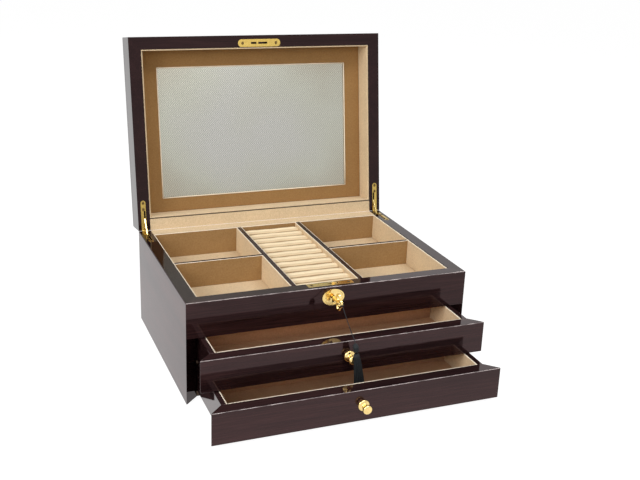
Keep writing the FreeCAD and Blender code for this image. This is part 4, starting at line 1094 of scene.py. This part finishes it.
def thread_mesh(index):
    """One thread, which hangs from the head and spreads out towards its end."""
    a = 2 * math.pi * ((index * GOLDEN_SHARE) % 1)
    r = math.sqrt((index + 0.5) / THREADS)
    wave = random.uniform(-1, 1)
    shorter = random.uniform(0, THREAD_SHORTER)
    line = []
    for k in range(THREAD_STEPS + 1):
        t = k / THREAD_STEPS
        spread = t**0.8
        half_wide = SKIRT_HALF_WIDE + SKIRT_WIDENS * spread
        half_thick = SKIRT_HALF_THICK + SKIRT_THICKENS * spread
        bow = SKIRT_BOW * math.sin(math.pi * t)
        x = half_wide * r * math.cos(a) + THREAD_WAVE * wave * math.sin(5 * t + index)
        y = half_thick * r * math.sin(a) + THREAD_RIPPLE * math.sin(4 * t + index * 2)
        line.append(SKIRT_TOP.lerp(SKIRT_END, t) + Vector((x + bow, y, shorter * t)))
    return tube_mesh(f"thread_{index}", line, THREAD_RADIUS, 5)


meshes = [thread_mesh(index) for index in range(THREADS)]
skirt = link("tassel_skirt_threads", joined("tassel_skirt_threads", meshes))
shade(skirt, THREAD)
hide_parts("tassel_skirt")
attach(skirt, "upper_drawer")
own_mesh(skirt)

# ---------------------------------------------------------------- loop through the key

LOOP_RADIUS = 1.95 * MM
LOOP_SWAY = 0.12 * MM
LOOP_THREAD_RADIUS = 0.42 * MM
LOOP_STEPS = 40

low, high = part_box("cord_loop")
middle = Vector((0, (low[1] + high[1]) / 2, (low[2] + high[2]) / 2))
ring = []
for k in range(LOOP_STEPS + 1):
    a = 2 * math.pi * k / LOOP_STEPS
    sway = LOOP_SWAY * math.sin(2 * a)
    ring.append(middle + Vector((LOOP_RADIUS * math.sin(a), -LOOP_RADIUS * math.cos(a), sway)))
loop = link("cord_loop_tied", tube_mesh("cord_loop_tied", ring, LOOP_THREAD_RADIUS, 9))
shade(loop, THREAD)
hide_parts("cord_loop")
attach(loop, "key")

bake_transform(cord, "carcass", "upper_drawer", start=tuple(CORD_START), end=tuple(CORD_END))

# ---------------------------------------------------------------- stage

FLOOR_HALF = 6.0
PAPER_GREY = 0.55
SHADOW_GREY = 0.24
FLOOR_WHITE = 0.93
WORLD_LIGHT = 0.25


def seen_directly(tree):
    """1 for camera, glossy and transmission rays, 0 for the light that falls on things."""
    rays = tree.nodes.new("ShaderNodeLightPath")
    seen = rays.outputs["Is Camera Ray"]
    for kind in ("Is Glossy Ray", "Is Transmission Ray"):
        either = tree.nodes.new("ShaderNodeMath")
        either.operation = "MAXIMUM"
        tree.links.new(seen, either.inputs[0])
        tree.links.new(rays.outputs[kind], either.inputs[1])
        seen = either.outputs[0]
    return seen


def white_floor(mat):
    """White where it is seen, but for the shadow; plain paper to the light."""
    nodes, links = mat.node_tree.nodes, mat.node_tree.links
    output = next(n for n in nodes if n.type == "OUTPUT_MATERIAL")
    shadow = nodes.new("ShaderNodeBsdfDiffuse")
    shadow.inputs["Color"].default_value = (SHADOW_GREY, SHADOW_GREY, SHADOW_GREY, 1)
    white = nodes.new("ShaderNodeEmission")
    white.inputs["Color"].default_value = (1, 1, 1, 1)
    white.inputs["Strength"].default_value = FLOOR_WHITE
    total = nodes.new("ShaderNodeAddShader")
    links.new(shadow.outputs[0], total.inputs[0])
    links.new(white.outputs[0], total.inputs[1])
    choose = nodes.new("ShaderNodeMixShader")
    links.new(seen_directly(mat.node_tree), choose.inputs["Fac"])
    links.new(shader_of(mat).outputs[0], choose.inputs[1])
    links.new(total.outputs[0], choose.inputs[2])
    links.new(choose.outputs[0], output.inputs["Surface"])


corners = [(x * FLOOR_HALF, y * FLOOR_HALF, 0) for x, y in ((-1, -1), (1, -1), (1, 1), (-1, 1))]
mesh = bpy.data.meshes.new("studio_floor")
mesh.from_pydata(corners, [], [(0, 1, 2, 3)])
floor = link("studio_floor", mesh)
paper = new_material("studio_paper", (PAPER_GREY, PAPER_GREY, PAPER_GREY), 0.9)
floor.data.materials.append(paper)
white_floor(paper)

world = bpy.data.worlds.new("studio")
bpy.context.scene.world = world
world.use_nodes = True
background = world.node_tree.nodes["Background"]
background.inputs["Color"].default_value = (1, 1, 1, 1)
strength = world.node_tree.nodes.new("ShaderNodeMapRange")
strength.inputs["To Min"].default_value = WORLD_LIGHT
strength.inputs["To Max"].default_value = 1.0
world.node_tree.links.new(seen_directly(world.node_tree), strength.inputs["Value"])
world.node_tree.links.new(strength.outputs["Result"], background.inputs["Strength"])

# ---------------------------------------------------------------- lamps and camera


def softbox(name, place, target, size, power):
    """A rectangular area lamp aimed at a point."""
    data = bpy.data.lights.new(name, "AREA")
    data.shape = "RECTANGLE"
    data.size, data.size_y = size
    data.energy = power
    aim = (Vector(target) - Vector(place)).to_track_quat("-Z", "Y")
    link(name, data).matrix_world = Matrix.Translation(place) @ aim.to_matrix().to_4x4()


softbox("strip_above", (0.3, -0.42, 1.3), (0, -0.05, 0.1), (1.3, 0.16), 8.5)
softbox("side_left", (-1.2, -0.5, 0.75), (0, 0, 0.1), (1.0, 0.8), 12.5)
softbox("fill_front", (-0.35, -1.85, 1.02), (0, -0.05, 0.07), (2.4, 0.6), 9.5)

FOCAL_PX = 968.146
PHOTO_WIDTH_PX = 640
SENSOR = 36
CAMERA_PLACE = Vector((-352.318, -926.077, 472.419)) * MM
AZIMUTH, ELEVATION, ROLL = (math.radians(v) for v in (22.314, -19.572, 2.23))

camera_data = bpy.data.cameras.new("camera")
camera_data.sensor_width = SENSOR
camera_data.lens = FOCAL_PX / PHOTO_WIDTH_PX * SENSOR
camera_data.clip_start = 0.01
camera = link("camera", camera_data)
level = math.cos(ELEVATION)
forward = Vector((math.sin(AZIMUTH) * level, math.cos(AZIMUTH) * level, math.sin(ELEVATION)))
right = Vector((math.cos(AZIMUTH), -math.sin(AZIMUTH), 0))
up = right.cross(forward)
rolled_right = right * math.cos(ROLL) + up * math.sin(ROLL)
rolled_up = up * math.cos(ROLL) - right * math.sin(ROLL)
facing = Matrix((rolled_right, rolled_up, -forward)).transposed().to_4x4()
camera.matrix_world = Matrix.Translation(CAMERA_PLACE) @ facing
bpy.context.scene.camera = camera
bpy.context.scene.view_settings.view_transform = "Standard"
